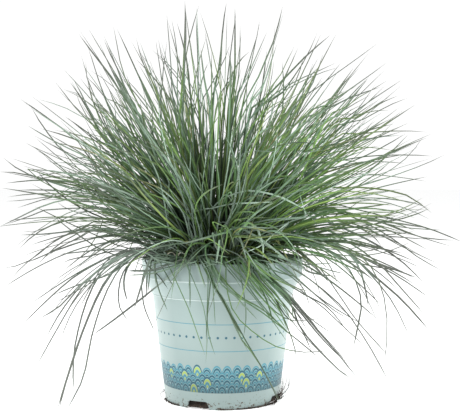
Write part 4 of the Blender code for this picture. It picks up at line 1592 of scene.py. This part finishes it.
for text, root_depths, tip_depths, leaf_widths, leaf_tones in LEAF_GROUPS:
    for spots in strokes_of(text):
        lean = rng.uniform(0, 1)
        root_depth, tip_depth = (
            (nearest + (furthest - nearest) * lean) * CM
            for nearest, furthest in (root_depths, tip_depths)
        )
        points = placed_stroke(spots, root_depth * DEPTH_SPREAD, tip_depth)
        owner = nearest_shoot(np.clip(ROOT_PULL * points[0][0], *ROOT_REACH), root_depth)
        points = over_the_rim([feet[owner] + FOOT_RISE] + points)
        path = held_off_the_band(path_through(points, LEAF_RINGS))
        drawn[owner].append((path, rng.uniform(*leaf_widths), rng.uniform(*leaf_tones)))
print("drawn leaves:", sum(map(len, drawn.values())))
blocked = sum(
    not clear_of_pot(path[None])[0] for leaves in drawn.values() for path, _, _ in leaves
)
print("drawn leaves that touch the pot:", blocked)

# %% [markdown]
# ## Leaves sunk onto the soil and the rim
#
# Short and old leaves lie low. Some have sunk outwards from any shoot and rest near the rim.
# More are tangled at the front, where one looks into the clump. Both kinds start at a shoot's
# foot and arch over to a goal at about the height of the rim. A leaf that would cut through
# the rim is arched higher, step by step, until it clears it.

# %% A leaf that arches over
SUNK_LEAVES = 60
TANGLED_LEAVES = 190
ARCH_STEP = math.radians(5)
ARCH_LIMIT = 1.6


def arching(root, tip, arch, sway):
    """Controls of a leaf that leaves its root above the chord and arches over to its tip."""
    chord = tip - root
    span = np.linalg.norm(chord)
    azimuth = math.atan2(chord[1], chord[0])
    elevation = math.atan2(chord[2], math.hypot(chord[0], chord[1]))

    def towards(angle):
        level = math.cos(angle)
        return np.array((level * math.cos(azimuth), level * math.sin(azimuth), math.sin(angle)))

    across = np.array((-math.sin(azimuth), math.cos(azimuth), 0))
    first = root + towards(elevation + arch) * span * 0.33 + across * sway * span * 0.5
    second = tip - towards(elevation - 0.55 * arch) * span * 0.38 + across * sway * span
    return np.array((root, first, second, tip))


# %% Sunk and tangled leaves
for number in range(SUNK_LEAVES + TANGLED_LEAVES):
    sunk = number < SUNK_LEAVES
    if sunk:
        owner = SHOOTS[rng.integers(len(SHOOTS))]
    else:
        owner = nearest_shoot(rng.uniform(-45, 30) * MM, rng.uniform(-45, 5) * MM)
    root = feet[owner] + (0, 0, 1 * MM)
    if sunk:
        outward = math.atan2(root[1], root[0] + 5 * MM) + rng.normal(0, 0.7)
        reach = rng.uniform(62, 98) * MM
        if math.sin(outward) < -0.5:
            reach = min(reach, 80 * MM)
    else:
        outward = math.radians(rng.uniform(-185, -60))
        reach = rng.uniform(50, 85) * MM
    height = rng.uniform(147, 158 if reach < RIM_RADIUS else 162) * MM
    goal = round_the_axis(reach, outward, height)
    arch = math.radians(rng.uniform(14, 30))
    sway = rng.normal(0, 0.12 if sunk else 0.25)
    controls = arching(root, goal, arch, sway)
    while not curves_clear(controls[None])[0] and arch < ARCH_LIMIT:
        arch += ARCH_STEP
        controls = arching(root, goal, arch, sway)
    if arch < ARCH_LIMIT:
        path = bezier_paths(controls[None], LEAF_RINGS)[0]
        drawn[owner].append((path, rng.uniform(0.5, 0.8), rng.uniform(0.45, 1)))
print("with the sunk leaves:", sum(map(len, drawn.values())))

# %% [markdown]
# ## The finish of a leaf
#
# Blue fescue owes its colour to a waxy bloom over green. Young leaves are a fresher green, old
# ones turn olive and straw, and every leaf is paler at its base and darker at its hard tip.
# Each leaf carries one number, its tone, which picks its colour from a ramp. A map of the
# leaf's own, across and along, places the base, the tip, the groove and the fine ribs.

# %% Leaf: its colour by tone, and its base
BASE_GREEN = (0.15, 0.2, 0.045, 1)

leaf_skin, steps, shader = new_finish("leaf_skin")
place = steps.place()
across, along = steps.split(steps.node("UVMap", uv_map="leaf").outputs[0])[:2]
tone = steps.node("Attribute", attribute_name="leaf_tone").outputs["Fac"]
body = steps.ramp(tone, (
    (0.0, (0.5, 0.42, 0.24)), (0.07, (0.42, 0.4, 0.2)), (0.14, (0.26, 0.34, 0.09)),
    (0.32, (0.15, 0.27, 0.065)), (0.58, (0.09, 0.18, 0.075)), (0.76, (0.15, 0.25, 0.15)),
    (0.9, (0.26, 0.37, 0.28)), (1.0, (0.36, 0.47, 0.385)),
))
factor = steps.use(mottling, Place=place, Scale=55, Depth=0.5)[0]
own_factor = steps.remap(steps.chance("W", tone), 0, 1, 0.35, 1.85)
body = steps.shaded(body, steps.times(factor, own_factor))
base = steps.remap(along, 0.02, 0.22, 1, 0)
body = steps.mix(steps.times(base, 0.5), body, BASE_GREEN)

# %% Leaf: painted shade in the heart of the crown
CROWN_HEART = (-0.022, 0.03, 0.172)

# Painted shade: leaves darken towards the heart of the crown, and pale leaves less so
crown_painted_shade = steps.remap(steps.distance(place, CROWN_HEART), 0.055, 0.162, 0.08, 1)
crown_painted_shade = steps.larger(crown_painted_shade, steps.remap(tone, 0.84, 0.92, 0, 0.55))
body = steps.shaded(body, crown_painted_shade)

# %% Leaf: its greyed tip
# Low down and out to the sides whole leaves are grey: the heights between which that fades
# out upwards, and the distances from the middle between which it fades in, in metres
TIP_GREY = (0.118, 0.124, 0.11, 1)
FRESH_SIDE = (0.015, 0, 0.17)
GREY_SIDES = ((0.17, 0.25, 0.085, 0.17), (0.12, 0.17, 0.052, 0.074))

weathered = steps.remap(tone, 0.86, 0.95, 0.95, 0.45)
tip = steps.times(steps.remap(along, 0.42, 0.9), weathered)
exposed = steps.remap(steps.distance(place, FRESH_SIDE), 0.125, 0.215, 0.15, 1)
tip = steps.times(tip, exposed)
x, y, z = steps.split(place)[:3]
aside = steps.math("ABSOLUTE", x)
for low, high, near, far in GREY_SIDES:
    below = steps.remap(z, low, high, 0.96, 0)
    tip = steps.larger(tip, steps.times(below, steps.remap(aside, near, far)))
tip = steps.larger(tip, steps.remap(tone, 1.0, 1.2))
body = steps.mix(tip, body, TIP_GREY)

# %% Leaf: its groove, ribs and bloom
groove = steps.remap(steps.off(across, 0.5), 0.03, 0.12, 0.72, 1)
steps.feed(shader["Base Color"], steps.shaded(body, groove))
steps.feed(shader["Roughness"], steps.remap(steps.noise(place, 300, 3), 0.3, 0.7, 0.5, 0.7))
ribs = steps.math("SINE", steps.times(across, 44))
steps.feed(shader["Normal"], steps.bump(ribs, 0.25, 0.1 * MM))
shader["Specular IOR Level"].default_value = 0.25
print("steps in the leaf's finish:", len(leaf_skin.node_tree.nodes))

# %% [markdown]
# ## Every shoot in one mesh
#
# A shoot is one grown piece, so all its leaves go into one mesh that stands for its solid. Its
# grown leaves come first, then short dead ones at its foot, then those that were drawn for it.
# Each shoot draws by lot from a seed of its own, so a change to one leaves the others alone.

# %% Turning a shoot's leaves into one mesh
leaf_across = 0.5 + 0.5 * np.clip(LEAF_CORNERS[:, 0], -1, 1)
LEAF_MAP = np.stack((leaf_across, LEAF_CORNERS[:, 2]), axis=1)
HALF_WIDTH = 0.68 * MM


def leaf_mesh(name, paths, widths, tones):
    """One mesh of leaves along paths, with each leaf's own map and tone."""
    count = len(paths)
    turn = rng.normal(0, 0.7, count)
    twist = rng.normal(0, 1.1, count)
    corners = bent_copies(LEAF_CORNERS, LEAF_RINGS, paths, widths * HALF_WIDTH, turn, twist)
    item = joined_copies(name, LEAF_FACES, corners)
    mesh = item.data
    corner_numbers = np.zeros(len(mesh.loops), np.int32)
    mesh.loops.foreach_get("vertex_index", corner_numbers)
    own_map = mesh.uv_layers.new(name="leaf")
    own_map.data.foreach_set("uv", LEAF_MAP[corner_numbers % len(LEAF_CORNERS)].ravel())
    tone = mesh.attributes.new("leaf_tone", "FLOAT", "POINT")
    tone.data.foreach_set("value", np.repeat(tones, len(LEAF_CORNERS)))
    return item


# %% What grows on each shoot
# How many leaves are grown for each shoot, in order. These counts weren't chosen by hand: a
# fitting program found them, by comparing how densely the leaves cover the picture and a render
GROWN_LEAVES = (
    8, 37, 17, 18, 34, 37, 55, 38, 73, 60, 44, 52, 18, 25, 46, 23, 30, 24, 19, 41, 31, 9, 23, 12,
    27, 4, 13, 31, 3, 10, 6, 3, 22, 1, 7, 6, 9, 4, 1, 1, 14, 1, 1, 1, 6, 9, 1, 1, 1, 1, 1,
)
# Shoots of which only the first few leads are dressed, and how many. Drawn leaves stand in
# for the others
LEADS_KEPT = {
    26: 3, 27: 3, 29: 2, 31: 2, 34: 0, 35: 2, 36: 3, 37: 0, 38: 3, 39: 1, 40: 0, 42: 0, 43: 1,
    44: 3, 45: 0, 47: 0, 48: 0, 49: 0, 50: 0, 51: 0,
}
DEAD_PER_SHOOT = 7
print("leaves to grow:", sum(GROWN_LEAVES))


def grown_leaves(number, leads):
    """Controls of a shoot's green leaves and of the short dead ones at its foot."""
    green = grown_between(leads, GROWN_LEAVES[number - 1])
    dead = grown_between(leads, DEAD_PER_SHOOT)
    root = dead[:, :1]
    dead = root + (dead - root) * rng.uniform(0.12, 0.35, (DEAD_PER_SHOOT, 1, 1))
    kept_leads = leads[: LEADS_KEPT.get(number, len(leads))]
    return inside_box(lifted_clear(np.concatenate((kept_leads, green)))), lifted_clear(dead)


# %% Tones and widths
# Some leaves are pale with bloom, some fresh and a few yellowed: their share and their tones
ODD_TONES = ((0.16, 0.8, 1), (0.2, 0.25, 0.4), (0.035, 0.08, 0.16))
SHOOT_TONE = 0.58
RIGHT_SHOOT_FRESHER = 0.09
DEAD_NARROWER = 0.8
HANGING_WIDER = 1.25


def tones_of(leads, living, dead):
    """Tones of a shoot's leaves, first the living and then the dead ones."""
    on_the_right = float(leads[:, 3, 0].mean() > 0.02)
    own = SHOOT_TONE + 0.08 * rng.normal() - RIGHT_SHOOT_FRESHER * on_the_right
    tones = np.clip(own + rng.normal(0, 0.17, living + dead), 0.16, 0.95)
    for share, lowest, highest in ODD_TONES:
        odd = rng.uniform(size=len(tones)) < share
        tones[odd] = rng.uniform(lowest, highest, odd.sum())
    tones[living:] = rng.uniform(0.06, 0.3, dead)
    return tones


def widths_of(paths, living):
    """Widths of a shoot's leaves. Dead ones are narrower, and long hanging ones wider."""
    widths = rng.uniform(0.62, 1.18, len(paths))
    widths[living:] *= DEAD_NARROWER
    hanging = (paths[:, -1, 2] < 0.2) & (paths[:, -1, 0] > 0.12)
    widths[hanging] *= HANGING_WIDER
    return widths


# %% All shoots
FOOT_SPREAD = 1.2 * MM

total = 0
for number, name in enumerate(SHOOTS, 1):
    rng = np.random.default_rng(number)
    leads = leads_of(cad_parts[name])
    green, dead = grown_leaves(number, leads)
    controls = np.concatenate((green, dead))
    away = rng.normal(0, FOOT_SPREAD, (len(controls), 3)) * (1, 1, 0)
    paths = bezier_paths(controls, LEAF_RINGS - 1)
    paths = np.concatenate(((feet[name] + away)[:, None], paths), axis=1)
    tones = tones_of(leads, len(green), len(dead))
    widths = widths_of(paths, len(green))
    for path, width, tone in drawn[name]:
        paths = np.concatenate((paths, path[None]))
        widths = np.append(widths, width)
        tones = np.append(tones, tone)
    shoot = leaf_mesh(f"shoot_{number:02d}", paths, widths, tones)
    dress(shoot, name, leaf_skin)
    total += len(paths)
print("leaves:", total, "faces:", total * len(LEAF_FACES))

# %% [markdown]
# ## Dry curls
#
# Two dead leaves at the front left of the crown have rolled up into open rings. They are the
# same leaf, bleached to straw, bent along the ring of their solid.

# %% Straw
straw, steps, shader = new_finish("dead_straw")
place = steps.place()
fade = steps.noise(place, 500, 4, 0.6)
colour = steps.ramp(fade, (
    (0.3, (0.42, 0.4, 0.28)), (0.55, (0.62, 0.62, 0.5)), (0.75, (0.72, 0.73, 0.63)),
))
factor = steps.use(mottling, Place=place, Scale=240, Depth=0.7)[0]
steps.feed(shader["Base Color"], steps.shaded(colour, factor))
shader["Roughness"].default_value = 0.7
steps.feed(shader["Normal"], steps.bump(fade, 0.3, 0.2 * MM))

# %% Dry curls
# Each curl's node, the place of its foot in millimetres, and its turn in degrees
CURL_PLACES = (("dry_curl_1", (-51, -55), 20), ("dry_curl_2", (-41, -59), -15))
CURL_RADIUS = 4.8 * MM
CURL_STALK = 6 * MM
CURL_DRIFT = 3 * MM
CURL_ROUND = 310

for name, (foot_x, foot_y), degrees in CURL_PLACES:
    share = np.linspace(0, 1, 2 * LEAF_RINGS)
    angle = np.radians(CURL_ROUND * share - 90)
    radius = CURL_RADIUS * (1 - 0.2 * share)
    ring = np.stack((radius * np.cos(angle), CURL_DRIFT * share, radius * np.sin(angle)), axis=1)
    ring[:, 2] += CURL_STALK + CURL_RADIUS
    ring = turned_round(np.vstack(((0, 0, 0), ring)), math.radians(degrees))
    x, y = foot_x * MM, foot_y * MM
    ring += (x, y, soil_height(math.hypot(x, y)))
    path = sampled(ring, range(len(ring)), np.linspace(0, len(ring) - 1, LEAF_RINGS))
    curl = leaf_mesh("curl_" + name[-1], path[None], np.array((0.7,)), np.array((0.0,)))
    dress(curl, name, straw)
    print(curl.name, "size in mm:", [round(c / MM) for c in np.ptp(path, axis=0)])
